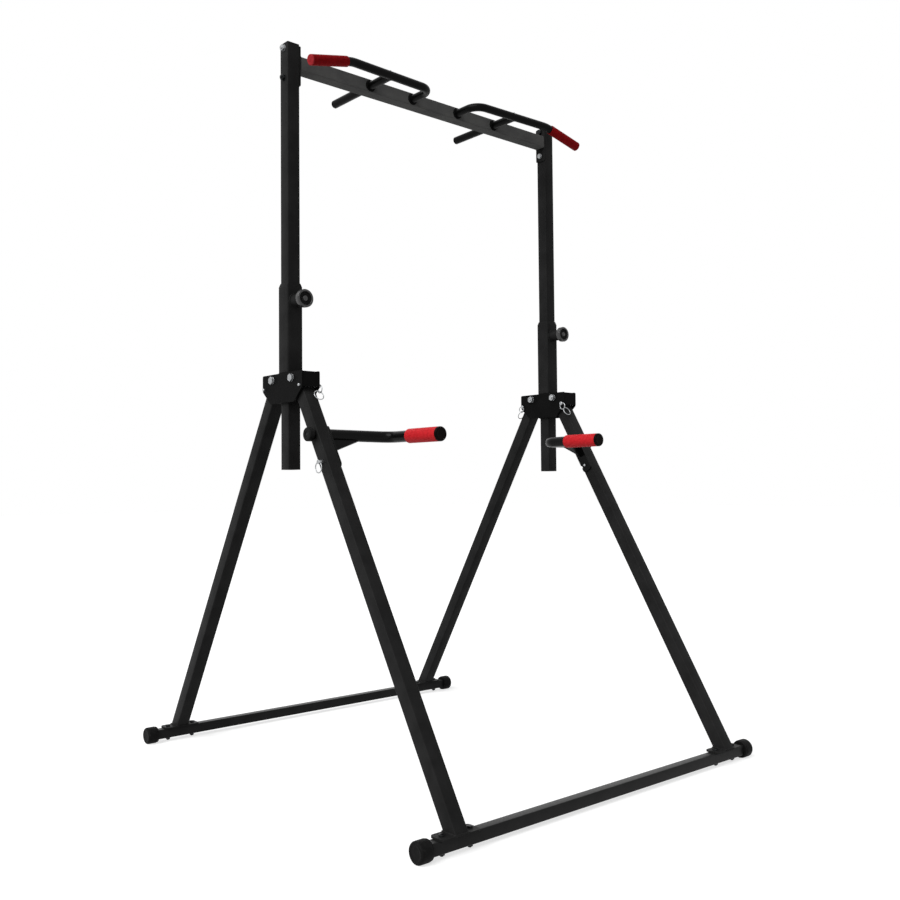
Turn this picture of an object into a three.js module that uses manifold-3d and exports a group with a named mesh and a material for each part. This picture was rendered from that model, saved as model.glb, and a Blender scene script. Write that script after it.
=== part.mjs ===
// Folding dip station with a height-adjustable pull-up bar.
// Millimetres, +Z up. The origin is on the floor, midway between the two posts and the two base tubes.
// -Y is the side to which the dip handles reach. Seen from there, +X is to the right.
import * as THREE from 'three';
import { mergeVertices } from 'three/addons/utils/BufferGeometryUtils.js';
import Module from 'manifold-3d';

const wasm = await Module();
wasm.setup();

// Overall layout
const POST_SPACING = 1050; // between the centre lines of the two posts
const FRAME_HEIGHT = 2080; // floor to the top of the uprights
const BASE_SPACING = 1378; // between the centre lines of the front and rear base tubes
const BASE_OVERHANG = 118; // post centre to the outer end of a rubber foot

// Fits
const TOUCH = 0.3; // gap kept where two pieces bear on each other
const SLIDE = 0.4; // clearance on each side of a sliding fit
const BORE_FIT = 0.3; // clearance round a bolt or a pin in its hole
const OVERRUN = 6; // how far a cut runs past the face it opens

// Square tubes
const UPRIGHT_SIZE = 40;
const UPRIGHT_WALL = 2;
const UPRIGHT_TAIL = 186; // how far an upright shows below its sleeve
const SLEEVE_WALL = 2;
const SLEEVE_LENGTH = 327;
const CROSSBAR_SIZE = 40;
const CROSSBAR_WALL = 2;
const CROSSBAR_DROP = 30; // top of the upright to the top face of the crossbar
const LEG_SIZE = 40;
const LEG_WALL = 2;
const BASE_SIZE = 30;
const BASE_WALL = 2;

// Hub brackets, which join the legs to the sleeves
const HUB_TOP = 1142; // floor to the top edge
const HUB_HEIGHT = 84;
const HUB_WAIST = 61; // post centre to the lower corner
const HUB_PLATE = 4;
const HUB_CORNER = 5; // corner radius of the plates
const HUB_WALL_INSET = 2; // how far an end wall stays clear of the corners above and below it
const PIVOT_DROP = 17; // top edge to the pivot
const LEG_HEAD = 14; // how far a leg runs past its pivot
const LEG_HEAD_INSET = 3; // top edge of the bracket to the flat top of a leg
const PIVOT_TUBE_WALL = 3;
const HEAD_CLEARANCE = 1.6; // room between a turning leg's head and the sleeve

// Fasteners
const PIVOT_BOLT = 12;
const FRAME_BOLT = 10;
const FOOT_BOLT = 8;
const HEAD_ACROSS_SHARE = 1.62; // width across the flats, as a share of the bolt's diameter
const HEAD_HEIGHT_SHARE = 0.6;
const NUT_HEIGHT_SHARE = 0.8;
const THREAD_END_SHARE = 0.3; // how far the thread shows past its nut

// Ring pins
const RING_PIN = 8;
const RING_PIN_HEAD = 12;
const LEG_PIN_HEAD_LENGTH = 7;
const DIP_PIN_HEAD_LENGTH = 16;
const RING_PIN_TIP = 6; // how far the point shows past what it locks
const LINK_RADIUS = 9; // middle of the wire of the small link on a pin's head
const RING_RADIUS = 14; // middle of the wire of the ring that hangs from the link
const RING_WIRE = 2.4;
const RING_SWING = Math.PI / 4; // how far a ring swings sideways from hanging straight down
const LEG_PIN_ALONG = 41; // leg pivot to the lock pin, measured along the leg
const LEG_PIN_EDGE = 11.2; // lock pin to the end of the bracket's wing

// Feet
const FOOT_PLATE_LENGTH = 116;
const FOOT_PLATE_MARGIN = 0.8; // how far a foot plate shows beyond its leg, front and back
const FOOT_PLATE = 5;
const FOOT_PLATE_CORNER = 10;
const FOOT_BOLT_SPACING = 84;
const END_CAP_WALL = 4.4; // rubber over the corners of the base tube
const END_CAP_LENGTH = 36;
const END_CAP_ROUND = 7;
const END_CAP_BITE = 28; // how far the base tube reaches into a cap

// Crossbar ends
const END_PLATE = 4;
const END_PLATE_INSET = 0.5; // top of the upright to the top of the plate
const END_BOLT_TOP_INSET = 11; // top of the plate to its upper bolt
const END_BOLT_SPACING = 85;
const END_BOLT_LOW_INSET = 19; // lower bolt to the bottom of the plate
const UPRIGHT_CAP = 3;
const UPRIGHT_CAP_PLUG = 6;

// Pull-up bars, measured from the post plane and the middle of the crossbar
const GRIP_TUBE = 25;
const GRIP_TUBE_WALL = 2;
const GRIP_ROOT_X = 93;
const GRIP_ROOT_REACH = 112;
const GRIP_ROOT_BEND = 42;
const GRIP_SHOULDER_X = 398;
const GRIP_SHOULDER_REACH = 126;
const GRIP_SHOULDER_DROP = 2;
const GRIP_SHOULDER_BEND = 90;
const GRIP_END_X = 540;
const GRIP_END_REACH = 133;
const GRIP_END_DROP = 39;
const NEUTRAL_X = 255;
const NEUTRAL_REACH = 168; // post plane to the rear end of the neutral grip
const FOAM_THICKNESS = 2.5;
const GRIP_BARE = 9; // bare straight tube between the last bend and the foam
const TUBE_CAP = 3; // thickness of the plugs in the tube ends
const TUBE_PLUG = 10;

// Height adjustment
const KNOB_DROP = 40; // top of a sleeve to its pull knob
const HOLE_PITCH = 50;
const HOLE_COUNT = 6;
const PLUNGER = 10;
const PLUNGER_STEM = 7;
const PLUNGER_COLLAR = 15;
const PLUNGER_COLLAR_LENGTH = 3;
const PLUNGER_TRAVEL = 12;
const HOUSING = 36;
const HOUSING_LENGTH = 33;
const HOUSING_FRONT_WALL = 5;
const SPRING_WALL = 2.5;
const KNOB = 51;
const KNOB_LENGTH = 22;
const KNOB_ROUND = 5;
const KNOB_SOCKET = 14; // depth of the stem's socket
const BUSH_HEIGHT = 12; // height of the guide's collar above the sleeve
const BUSH_DEPTH = 40; // how far the guide reaches into the sleeve
const BUSH_TOP_WALL = 1;
const GUIDE_WALL = 2.3; // wall of the guide's liner, between an upright and its sleeve

// Dip handles, measured in the user's frame
const DIP_DROP = 161; // leg pivot down to the axis of the dip handles
const DIP_TUBE = 32;
const DIP_TUBE_WALL = 2;
const DIP_INSET = 207; // post centre to a grip's axis
const DIP_BEND = 42;
const DIP_BEND_ADVANCE = 42; // how far forward of the pivot the bend's corner lies
const DIP_SAG = 3.5; // how far a grip lies below its handle's pivot
const DIP_REACH = 409; // post plane to the front of a grip
const DIP_FOAM_THICKNESS = 4;
const DIP_BARE = 53; // bare straight tube between the bend and the foam
const DIP_CAP_LENGTH = 8;
const DIP_CAP_ROUND = 4;
const DIP_CAP_SKIRT = 3; // how far the cap reaches over the tube
const DIP_PLATE = 5;
const DIP_PLATE_WIDTH = 36;
const DIP_PLATE_ABOVE = 22;
const DIP_PLATE_END = 21; // lock pin to the lower end of the plate
const DIP_PIN_ALONG = 87; // handle pivot to its lock pin, measured along the leg
const DIP_KNOB = 38;
const DIP_KNOB_LENGTH = 22;
const DIP_KNOB_ROUND = 5;
const DIP_BOLT_REACH = 12; // how far the knob's bolt reaches past the handle's plate
const GUSSET = 5;
const GUSSET_ALONG_TUBE = 92;
const GUSSET_ALONG_LEG = 55;

// Facets of round shapes
const TUBE_SIDES = 14;
const BOLT_SIDES = 10;
const KNOB_SIDES = 20;
const CAP_SIDES = 20;
const RING_SIDES = 6;
const RING_STEPS = 14;
const BEND_STEPS = 5;
const ROUND_STEPS = 2;
const HEX = 6;
const SQUARE = 4;
const BACK_LIMIT = 0.001; // smallest angle that counts as a bend

// Worked out from the sizes above
const POST_X = POST_SPACING / 2;
const BASE_WIDTH = POST_SPACING + 2 * BASE_OVERHANG;
const BASE_Y = BASE_SPACING / 2;
const SLEEVE_SIZE = UPRIGHT_SIZE + 2 * (SLIDE + GUIDE_WALL + TOUCH + SLEEVE_WALL);
const END_CAP = (BASE_SIZE + 2 * TOUCH) * Math.SQRT2 + 2 * END_CAP_WALL;
const BASE_Z = END_CAP / 2;
const BASE_TOP = BASE_Z + BASE_SIZE / 2;
const FOOT_TOP = BASE_TOP + FOOT_PLATE;
const PIVOT_Z = HUB_TOP - PIVOT_DROP;
const HUB_BOTTOM = HUB_TOP - HUB_HEIGHT;
const SLEEVE_TOP = HUB_BOTTOM + SLEEVE_LENGTH;
const KNOB_HEIGHT = SLEEVE_TOP - KNOB_DROP;
const UPRIGHT_BOTTOM = HUB_BOTTOM - UPRIGHT_TAIL;
const UPRIGHT_LENGTH = FRAME_HEIGHT - UPRIGHT_BOTTOM;
const PIVOT_REACH = SLEEVE_SIZE / 2 + HEAD_CLEARANCE + Math.hypot(LEG_SIZE / 2, LEG_HEAD);
const LEG_RUN = BASE_Y - PIVOT_REACH;
const LEG_RISE = PIVOT_Z - FOOT_TOP;
const LEG_ANGLE = Math.atan2(LEG_RUN, LEG_RISE);
const LEG_LENGTH = Math.hypot(LEG_RUN, LEG_RISE);
const LEG_PIN_OUT = LEG_SIZE / 2 + RING_PIN / 2 + BORE_FIT;
const LEG_PIN_Y = PIVOT_REACH + LEG_PIN_ALONG * Math.sin(LEG_ANGLE) + LEG_PIN_OUT * Math.cos(LEG_ANGLE);
const LEG_PIN_DROP = PIVOT_DROP + LEG_PIN_ALONG * Math.cos(LEG_ANGLE) - LEG_PIN_OUT * Math.sin(LEG_ANGLE);
const HUB_REACH = LEG_PIN_Y + LEG_PIN_EDGE;
const HUB_END_HEIGHT = LEG_PIN_DROP + RING_PIN_HEAD / 2;
const FOOT_PLATE_WIDTH = LEG_SIZE / Math.cos(LEG_ANGLE) + 2 * FOOT_PLATE_MARGIN;
const CROSSBAR_Z = FRAME_HEIGHT - CROSSBAR_DROP - CROSSBAR_SIZE / 2;
const CROSSBAR_HALF = POST_X - UPRIGHT_SIZE / 2 - END_PLATE;
const END_PLATE_HEIGHT = END_BOLT_TOP_INSET + END_BOLT_SPACING + END_BOLT_LOW_INSET;
const END_PLATE_TOP = FRAME_HEIGHT - END_PLATE_INSET;
const END_BOLT_HIGH = END_PLATE_TOP - END_BOLT_TOP_INSET;
const DIP_HEIGHT = PIVOT_Z - DIP_DROP;
const DIP_PIVOT_Y = PIVOT_REACH + DIP_DROP * Math.tan(LEG_ANGLE);
const DIP_GRIP_X = POST_X - DIP_INSET;
const DIP_FOAM = DIP_TUBE + 2 * DIP_FOAM_THICKNESS;
const DIP_PLATE_BELOW = DIP_PIN_ALONG + DIP_PLATE_END;
const DIP_PLATE_FACE = POST_X - LEG_SIZE / 2 - TOUCH;

const SIDES = [
  { name: 'left', sign: -1 },
  { name: 'right', sign: 1 },
];
const ENDS = [
  { name: 'front', sign: -1 },
  { name: 'rear', sign: 1 },
];

// Finishes
function finish(color, roughness, metalness) {
  return new THREE.MeshStandardMaterial({ color, roughness, metalness });
}

const BLACK_PAINT = finish(0x26272a, 0.5, 0.2);
const BLACK_RUBBER = finish(0x17181a, 0.8, 0);
const BLACK_PLASTIC = finish(0x1d1e20, 0.45, 0);
const RED_FOAM = finish(0xc4242c, 0.85, 0);
const ZINC = finish(0xc8ccd0, 0.3, 0.9);

// Solids: closed meshes that can be joined and cut
function solid(geometry) {
  const bare = geometry.clone();
  bare.deleteAttribute('normal');
  bare.deleteAttribute('uv');
  const merged = mergeVertices(bare);
  const mesh = new wasm.Mesh({
    numProp: 3,
    vertProperties: new Float32Array(merged.attributes.position.array),
    triVerts: new Uint32Array(merged.index.array),
  });
  return new wasm.Manifold(mesh);
}

function geometryOf(manifold) {
  const mesh = manifold.getMesh();
  const geometry = new THREE.BufferGeometry();
  geometry.setAttribute('position', new THREE.BufferAttribute(mesh.vertProperties, 3));
  geometry.setIndex(new THREE.BufferAttribute(mesh.triVerts, 1));
  geometry.computeVertexNormals();
  return geometry;
}

function join(...geometries) {
  return geometryOf(geometries.map(solid).reduce((whole, piece) => whole.add(piece)));
}

function cut(geometry, ...tools) {
  return geometryOf(tools.map(solid).reduce((left, tool) => left.subtract(tool), solid(geometry)));
}

// The same piece for the other side or the other end, with its faces still pointing out
function mirrored(geometry, signX, signY) {
  const copy = mergeVertices(geometry.clone());
  copy.applyMatrix4(new THREE.Matrix4().makeScale(signX, signY, 1));
  if (signX * signY < 0) {
    const index = copy.index;
    for (let i = 0; i < index.count; i += 3) {
      const first = index.getX(i);
      index.setX(i, index.getX(i + 2));
      index.setX(i + 2, first);
    }
  }
  return copy;
}

// Simple forms
function block(sizeX, sizeY, sizeZ, x, y, z) {
  return new THREE.BoxGeometry(sizeX, sizeY, sizeZ).translate(x, y, z);
}

// A round bar from one place on an axis to another; the axis is 'x', 'y' or 'z'
function bar(diameter, axis, start, end, sides = BOLT_SIDES) {
  const geometry = new THREE.CylinderGeometry(diameter / 2, diameter / 2, end - start, sides);
  geometry.translate(0, (start + end) / 2, 0);
  if (axis === 'x') {
    geometry.rotateZ(-Math.PI / 2);
  }
  if (axis === 'z') {
    geometry.rotateX(Math.PI / 2);
  }
  return geometry;
}

// Diameter over the corners of a faceted round hole that leaves this much room between its flats
function overCorners(room, sides) {
  return room / Math.cos(Math.PI / sides);
}

// Diameter of the hole for a bolt or a pin, clear of its corners however it is turned
function boltHole(diameter) {
  return overCorners(diameter + 2 * BORE_FIT, BOLT_SIDES);
}

// A square tube that stands on z = 0
function squareTube(size, wall, length) {
  const inner = size - 2 * wall;
  const outside = block(size, size, length, 0, 0, length / 2);
  const inside = block(inner, inner, length + 2 * OVERRUN, 0, 0, length / 2);
  return cut(outside, inside);
}

// A turned form round the z axis, from a list of radius and height
function turned(points, sides) {
  const profile = points.map(([radius, height]) => new THREE.Vector2(radius, height));
  return new THREE.LatheGeometry(profile, sides).rotateX(Math.PI / 2);
}

// The quarter round between a flat end and a side, as radius and height
function roundedEdge(radius, height, round) {
  const points = [];
  for (let i = 0; i <= ROUND_STEPS; i += 1) {
    const angle = (Math.PI / 2) * (1 - i / ROUND_STEPS);
    points.push([radius - round + round * Math.cos(angle), height + round - round * Math.sin(angle)]);
  }
  return points;
}

// A flat plate in the YZ plane with rounded corners and round holes, as thick as asked, from x = 0
function sidePlate(corners, radius, thickness, holes = []) {
  const outline = new THREE.Shape();
  corners.forEach((corner, i) => {
    const here = new THREE.Vector2(...corner);
    const before = new THREE.Vector2(...corners[(i + corners.length - 1) % corners.length]);
    const after = new THREE.Vector2(...corners[(i + 1) % corners.length]);
    const start = here.clone().add(before.sub(here).setLength(radius));
    const end = here.clone().add(after.sub(here).setLength(radius));
    if (i === 0) {
      outline.moveTo(start.x, start.y);
    } else {
      outline.lineTo(start.x, start.y);
    }
    outline.quadraticCurveTo(here.x, here.y, end.x, end.y);
  });
  outline.closePath();
  const plate = new THREE.ExtrudeGeometry(outline, {
    depth: thickness,
    bevelEnabled: false,
    curveSegments: ROUND_STEPS,
  });
  plate.rotateZ(Math.PI / 2);
  plate.rotateY(Math.PI / 2);
  if (holes.length === 0) {
    return plate;
  }
  const drills = holes.map(({ y, z, diameter }) => (
    bar(diameter, 'x', -OVERRUN, thickness + OVERRUN).translate(0, y, z)
  ));
  return cut(plate, ...drills);
}

// A centre line of straight runs joined by round bends; it can be run on past both of its ends
class BentLine extends THREE.Curve {
  constructor(corners, radii, extra = 0) {
    super();
    this.stations = [];
    const first = corners[0];
    this.addEnd(first, corners[1].clone().sub(first).normalize(), -extra);
    for (let i = 1; i < corners.length - 1; i += 1) {
      this.addBend(corners[i - 1], corners[i], corners[i + 1], radii[i - 1]);
    }
    const last = corners[corners.length - 1];
    this.addEnd(last, last.clone().sub(corners[corners.length - 2]).normalize(), extra);
  }

  addEnd(point, tangent, extra) {
    this.stations.push({ point: point.clone().addScaledVector(tangent, extra), tangent });
  }

  addBend(before, corner, after, radius) {
    const into = corner.clone().sub(before).normalize();
    const out = after.clone().sub(corner).normalize();
    const angle = into.angleTo(out);
    if (angle < BACK_LIMIT) {
      return;
    }
    const start = corner.clone().addScaledVector(into, -radius * Math.tan(angle / 2));
    const axis = into.clone().cross(out).normalize();
    const inward = axis.clone().cross(into).normalize();
    const centre = start.clone().addScaledVector(inward, radius);
    for (let i = 0; i <= BEND_STEPS; i += 1) {
      const turn = (angle * i) / BEND_STEPS;
      const spoke = inward.clone().multiplyScalar(-radius).applyAxisAngle(axis, turn);
      this.stations.push({
        point: centre.clone().add(spoke),
        tangent: into.clone().applyAxisAngle(axis, turn),
      });
    }
  }

  get steps() {
    return this.stations.length - 1;
  }

  // Length of the straight run after the last bend
  get lastRun() {
    return this.stations[this.steps].point.distanceTo(this.stations[this.steps - 1].point);
  }

  stationAt(share) {
    return this.stations[Math.round(share * this.steps)];
  }

  getPoint(share) {
    return this.stationAt(share).point.clone();
  }

  getPointAt(share) {
    return this.stationAt(share).point.clone();
  }

  getTangentAt(share) {
    return this.stationAt(share).tangent.clone();
  }
}

// A round bar along a bent line
function alongLine(line, diameter) {
  const section = new THREE.Shape();
  section.absarc(0, 0, diameter / 2, 0, 2 * Math.PI);
  return new THREE.ExtrudeGeometry(section, {
    steps: line.steps,
    extrudePath: line,
    bevelEnabled: false,
    curveSegments: TUBE_SIDES / 2,
  });
}

// A hexagon bolt along x with its nut: the head's seat is at x = 0 and the nut's at x = grip
function boltAndNut(diameter, grip) {
  const across = diameter * HEAD_ACROSS_SHARE;
  const corners = across / Math.cos(Math.PI / HEX);
  const head = bar(corners, 'x', -diameter * HEAD_HEIGHT_SHARE, 0, HEX);
  const nut = bar(corners, 'x', grip, grip + diameter * NUT_HEIGHT_SHARE, HEX);
  const end = grip + diameter * (NUT_HEIGHT_SHARE + THREAD_END_SHARE);
  const shank = bar(diameter, 'x', -diameter * HEAD_HEIGHT_SHARE / 2, end);
  return join(head, shank, nut);
}

// A wire ring that hangs below the origin in the YZ plane
function hangingRing(radius) {
  const ring = new THREE.TorusGeometry(radius, RING_WIRE / 2, RING_SIDES, RING_STEPS);
  ring.rotateY(Math.PI / 2);
  return ring.translate(0, 0, -radius);
}

// A ring pin along x: its head's seat is at x = 0 and its shank runs to x = length
function ringPin(length, headLength) {
  const head = bar(RING_PIN_HEAD, 'x', -headLength, 0);
  const shank = bar(RING_PIN, 'x', -headLength / 2, length);
  return join(head, shank);
}

// A leg's pin: a link hangs from its head beside the leg, and the ring swings over the leg's outer face
function legLockPin() {
  const length = SLEEVE_SIZE + 2 * HUB_PLATE + TOUCH + RING_PIN_TIP;
  const link = hangingRing(LINK_RADIUS);
  const ring = hangingRing(RING_RADIUS).rotateZ(Math.PI / 2).rotateY(-RING_SWING);
  ring.translate(0, 0, -2 * LINK_RADIUS);
  const hanging = [link, ring].map((piece) => (
    piece.rotateX(LEG_ANGLE).translate(-LEG_PIN_HEAD_LENGTH / 2, 0, 0)
  ));
  return join(ringPin(length, LEG_PIN_HEAD_LENGTH), ...hanging);
}

// A dip handle's pin, with its ring hanging straight down near the outer end of its head
function dipLockPin() {
  const length = LEG_SIZE + 2 * TOUCH + DIP_PLATE + RING_PIN_TIP;
  const ring = hangingRing(RING_RADIUS).translate(RING_WIRE - DIP_PIN_HEAD_LENGTH, 0, 0);
  return join(ringPin(length, DIP_PIN_HEAD_LENGTH), ring);
}

// Pieces fixed round each post: sleeve, guide, hub bracket and leg pivot bolts
function sleeve() {
  const tube = squareTube(SLEEVE_SIZE, SLEEVE_WALL, SLEEVE_LENGTH);
  const hole = bar(boltHole(PLUNGER), 'y', -SLEEVE_SIZE / 2 - OVERRUN, -SLEEVE_SIZE / 2 + OVERRUN);
  hole.translate(0, 0, KNOB_HEIGHT - HUB_BOTTOM);
  return cut(tube, hole);
}

// A tapered collar on top of the sleeve with a liner that reaches down inside it
function sleeveGuide() {
  const bore = UPRIGHT_SIZE + 2 * SLIDE;
  const top = bore + 2 * BUSH_TOP_WALL;
  const diagonal = Math.SQRT2 / 2;
  const collar = new THREE.CylinderGeometry(top * diagonal, SLEEVE_SIZE * diagonal, BUSH_HEIGHT, SQUARE);
  collar.rotateY(Math.PI / SQUARE);
  collar.rotateX(Math.PI / 2);
  collar.translate(0, 0, BUSH_HEIGHT / 2);
  const linerSize = SLEEVE_SIZE - 2 * SLEEVE_WALL - 2 * TOUCH;
  const linerTop = BUSH_HEIGHT / 2;
  const liner = block(linerSize, linerSize, BUSH_DEPTH + linerTop, 0, 0, (linerTop - BUSH_DEPTH) / 2);
  const hole = block(bore, bore, BUSH_HEIGHT + BUSH_DEPTH + 2 * OVERRUN, 0, 0, (BUSH_HEIGHT - BUSH_DEPTH) / 2);
  const pinSlot = bar(boltHole(PLUNGER), 'y', -SLEEVE_SIZE, 0);
  pinSlot.translate(0, 0, KNOB_HEIGHT - SLEEVE_TOP);
  return cut(join(collar, liner), hole, pinSlot);
}

// Two winged plates, one on each side of the sleeve, closed at both ends by short walls
function hubBracket() {
  const holes = [];
  ENDS.forEach(({ sign }) => {
    holes.push({ y: sign * PIVOT_REACH, z: -PIVOT_DROP, diameter: boltHole(PIVOT_BOLT) });
    holes.push({ y: sign * LEG_PIN_Y, z: -LEG_PIN_DROP, diameter: boltHole(RING_PIN) });
  });
  const corners = [
    [HUB_REACH, 0],
    [HUB_REACH, -HUB_END_HEIGHT],
    [HUB_WAIST, -HUB_HEIGHT],
    [-HUB_WAIST, -HUB_HEIGHT],
    [-HUB_REACH, -HUB_END_HEIGHT],
    [-HUB_REACH, 0],
  ];
  const inner = sidePlate(corners, HUB_CORNER, HUB_PLATE, holes).translate(-SLEEVE_SIZE / 2 - HUB_PLATE, 0, 0);
  const outer = sidePlate(corners, HUB_CORNER, HUB_PLATE, holes).translate(SLEEVE_SIZE / 2, 0, 0);
  const wallHeight = HUB_END_HEIGHT - 2 * HUB_WALL_INSET;
  const walls = ENDS.map(({ sign }) => block(
    SLEEVE_SIZE + HUB_PLATE,
    HUB_PLATE,
    wallHeight,
    0,
    sign * (HUB_REACH - HUB_PLATE / 2),
    -HUB_END_HEIGHT / 2,
  ));
  return join(inner, outer, ...walls);
}

function legPivotBolt() {
  const grip = SLEEVE_SIZE + 2 * HUB_PLATE + 2 * TOUCH;
  return boltAndNut(PIVOT_BOLT, grip).translate(-grip / 2, 0, 0);
}

// Pull knob: housing on the sleeve, spring, plunger and knob, all along -Y from the sleeve's face
function knobHousing() {
  const chamber = PLUNGER_COLLAR + 2 * SLIDE;
  const body = bar(HOUSING, 'y', -HOUSING_LENGTH, 0, KNOB_SIDES);
  const room = bar(chamber, 'y', -HOUSING_LENGTH + HOUSING_FRONT_WALL, OVERRUN);
  const front = bar(boltHole(PLUNGER_STEM), 'y', -HOUSING_LENGTH - OVERRUN, 0);
  return cut(body, room, front);
}

function plungerSpring() {
  const front = -HOUSING_LENGTH + HOUSING_FRONT_WALL + TOUCH;
  const back = -PLUNGER_COLLAR_LENGTH - 2 * TOUCH;
  const coil = bar(PLUNGER_COLLAR, 'y', front, back);
  const bore = bar(PLUNGER_COLLAR - 2 * SPRING_WALL, 'y', front - OVERRUN, back + OVERRUN);
  return cut(coil, bore);
}

function plunger() {
  const tip = (SLEEVE_SIZE - UPRIGHT_SIZE) / 2 - TOUCH;
  const nose = bar(PLUNGER, 'y', -PLUNGER_COLLAR_LENGTH, tip);
  const collar = bar(PLUNGER_COLLAR, 'y', -TOUCH - PLUNGER_COLLAR_LENGTH, -TOUCH);
  const stem = bar(PLUNGER_STEM, 'y', -HOUSING_LENGTH - KNOB_SOCKET, -PLUNGER_COLLAR_LENGTH);
  return join(nose, collar, stem);
}

function pullKnob() {
  const radius = KNOB / 2;
  const back = HOUSING_LENGTH + TOUCH;
  const points = [[0, back], ...roundedEdge(radius, back, KNOB_ROUND)];
  const front = roundedEdge(radius, 0, KNOB_ROUND).map(([r, h]) => [r, back + KNOB_LENGTH - h]);
  points.push(...front.reverse(), [0, back + KNOB_LENGTH]);
  const body = turned(points, KNOB_SIDES).rotateX(Math.PI / 2);
  const socketEnd = HOUSING_LENGTH + KNOB_SOCKET + TOUCH;
  const socket = bar(PLUNGER_STEM + 2 * TOUCH, 'y', -socketEnd, -HOUSING_LENGTH + OVERRUN);
  return cut(body, socket);
}

// Leg: a square tube that hangs from its pivot, with the pivot tube, the foot plate and the bores
function leg(withHandle) {
  const length = LEG_HEAD + LEG_LENGTH + LEG_SIZE;
  const tube = squareTube(LEG_SIZE, LEG_WALL, length).translate(0, 0, LEG_HEAD - length);
  const pivotBore = boltHole(PIVOT_BOLT);
  const pivotReach = SLEEVE_SIZE / 2 - TOUCH;
  const pivotTube = bar(pivotBore + 2 * PIVOT_TUBE_WALL, 'x', -pivotReach, pivotReach);
  const pivotHole = bar(pivotBore, 'x', -SLEEVE_SIZE, SLEEVE_SIZE);
  let body = join(tube, pivotTube);
  if (withHandle) {
    const dipAlong = DIP_DROP / Math.cos(LEG_ANGLE);
    const knobHole = bar(boltHole(FRAME_BOLT), 'x', -LEG_SIZE, LEG_SIZE);
    knobHole.translate(0, 0, -dipAlong);
    const pinHole = bar(boltHole(RING_PIN), 'x', -LEG_SIZE, LEG_SIZE);
    pinHole.translate(0, 0, -dipAlong - DIP_PIN_ALONG);
    body = cut(body, knobHole, pinHole);
  }
  body = cut(body, pivotHole).rotateX(LEG_ANGLE);
  const reach = 2 * BASE_SPACING;
  const aboveHub = block(reach, reach, reach, 0, 0, PIVOT_DROP - LEG_HEAD_INSET + reach / 2);
  const belowFoot = block(reach, reach, reach, 0, 0, -LEG_RISE - reach / 2);
  return join(cut(body, aboveHub, belowFoot), footPlate());
}

// The plate under a leg, in the frame of the leg's pivot
function footPlate() {
  const outline = [
    [FOOT_PLATE_LENGTH / 2, FOOT_PLATE_WIDTH / 2],
    [-FOOT_PLATE_LENGTH / 2, FOOT_PLATE_WIDTH / 2],
    [-FOOT_PLATE_LENGTH / 2, -FOOT_PLATE_WIDTH / 2],
    [FOOT_PLATE_LENGTH / 2, -FOOT_PLATE_WIDTH / 2],
  ];
  const holes = SIDES.map(({ sign }) => (
    { y: (sign * FOOT_BOLT_SPACING) / 2, z: 0, diameter: boltHole(FOOT_BOLT) }
  ));
  const plate = sidePlate(outline, FOOT_PLATE_CORNER, FOOT_PLATE, holes);
  plate.rotateY(-Math.PI / 2);
  plate.rotateZ(Math.PI / 2);
  return plate.translate(0, LEG_RUN, -LEG_RISE - FOOT_PLATE);
}

// Base tube along x with the four bolts that hold the two feet
function baseTube() {
  const length = BASE_WIDTH - 2 * (END_CAP_LENGTH - END_CAP_BITE);
  const tube = squareTube(BASE_SIZE, BASE_WALL, length).translate(0, 0, -length / 2).rotateY(Math.PI / 2);
  const bolts = [];
  SIDES.forEach(({ sign }) => {
    SIDES.forEach((row) => {
      const x = sign * POST_X + (row.sign * FOOT_BOLT_SPACING) / 2;
      const grip = BASE_SIZE + FOOT_PLATE + TOUCH;
      const fastener = boltAndNut(FOOT_BOLT, grip).rotateY(Math.PI / 2);
      bolts.push(fastener.translate(x, 0, BASE_SIZE / 2 + FOOT_PLATE + TOUCH));
    });
  });
  return join(tube, ...bolts);
}

// Rubber foot: a round cap with a square socket, its closed end at x = 0 and the tube going in at -X
function endCap() {
  const radius = END_CAP / 2;
  const points = [[0, 0], ...roundedEdge(radius, 0, END_CAP_ROUND), [radius, END_CAP_LENGTH], [0, END_CAP_LENGTH]];
  const body = turned(points, CAP_SIDES).rotateY(-Math.PI / 2);
  const socketSize = BASE_SIZE + 2 * TOUCH;
  const socketDepth = END_CAP_BITE + TOUCH;
  const socket = block(
    socketDepth + OVERRUN,
    socketSize,
    socketSize,
    -END_CAP_LENGTH + (socketDepth - OVERRUN) / 2,
    0,
    0,
  );
  return cut(body, socket);
}

// Upright: the inner tube of a post, with a row of height holes in its front wall
function upright() {
  const tube = squareTube(UPRIGHT_SIZE, UPRIGHT_WALL, UPRIGHT_LENGTH);
  const holes = [];
  for (let i = 0; i < HOLE_COUNT; i += 1) {
    const hole = bar(boltHole(PLUNGER), 'y', -UPRIGHT_SIZE, 0);
    holes.push(hole.translate(0, 0, KNOB_HEIGHT - UPRIGHT_BOTTOM - i * HOLE_PITCH));
  }
  [0, END_BOLT_SPACING].forEach((drop) => {
    const hole = bar(boltHole(FRAME_BOLT), 'x', -UPRIGHT_SIZE, UPRIGHT_SIZE);
    holes.push(hole.translate(0, 0, END_BOLT_HIGH - drop - UPRIGHT_BOTTOM));
  });
  return cut(tube, ...holes);
}

function uprightCap() {
  const plug = UPRIGHT_SIZE - 2 * UPRIGHT_WALL - 2 * TOUCH;
  const lid = block(UPRIGHT_SIZE, UPRIGHT_SIZE, UPRIGHT_CAP, 0, 0, UPRIGHT_CAP / 2 + TOUCH);
  const stopper = block(plug, plug, UPRIGHT_CAP_PLUG + TOUCH + UPRIGHT_CAP / 2, 0, 0, 0);
  stopper.translate(0, 0, (TOUCH + UPRIGHT_CAP / 2 - UPRIGHT_CAP_PLUG) / 2);
  return join(lid, stopper);
}

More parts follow.
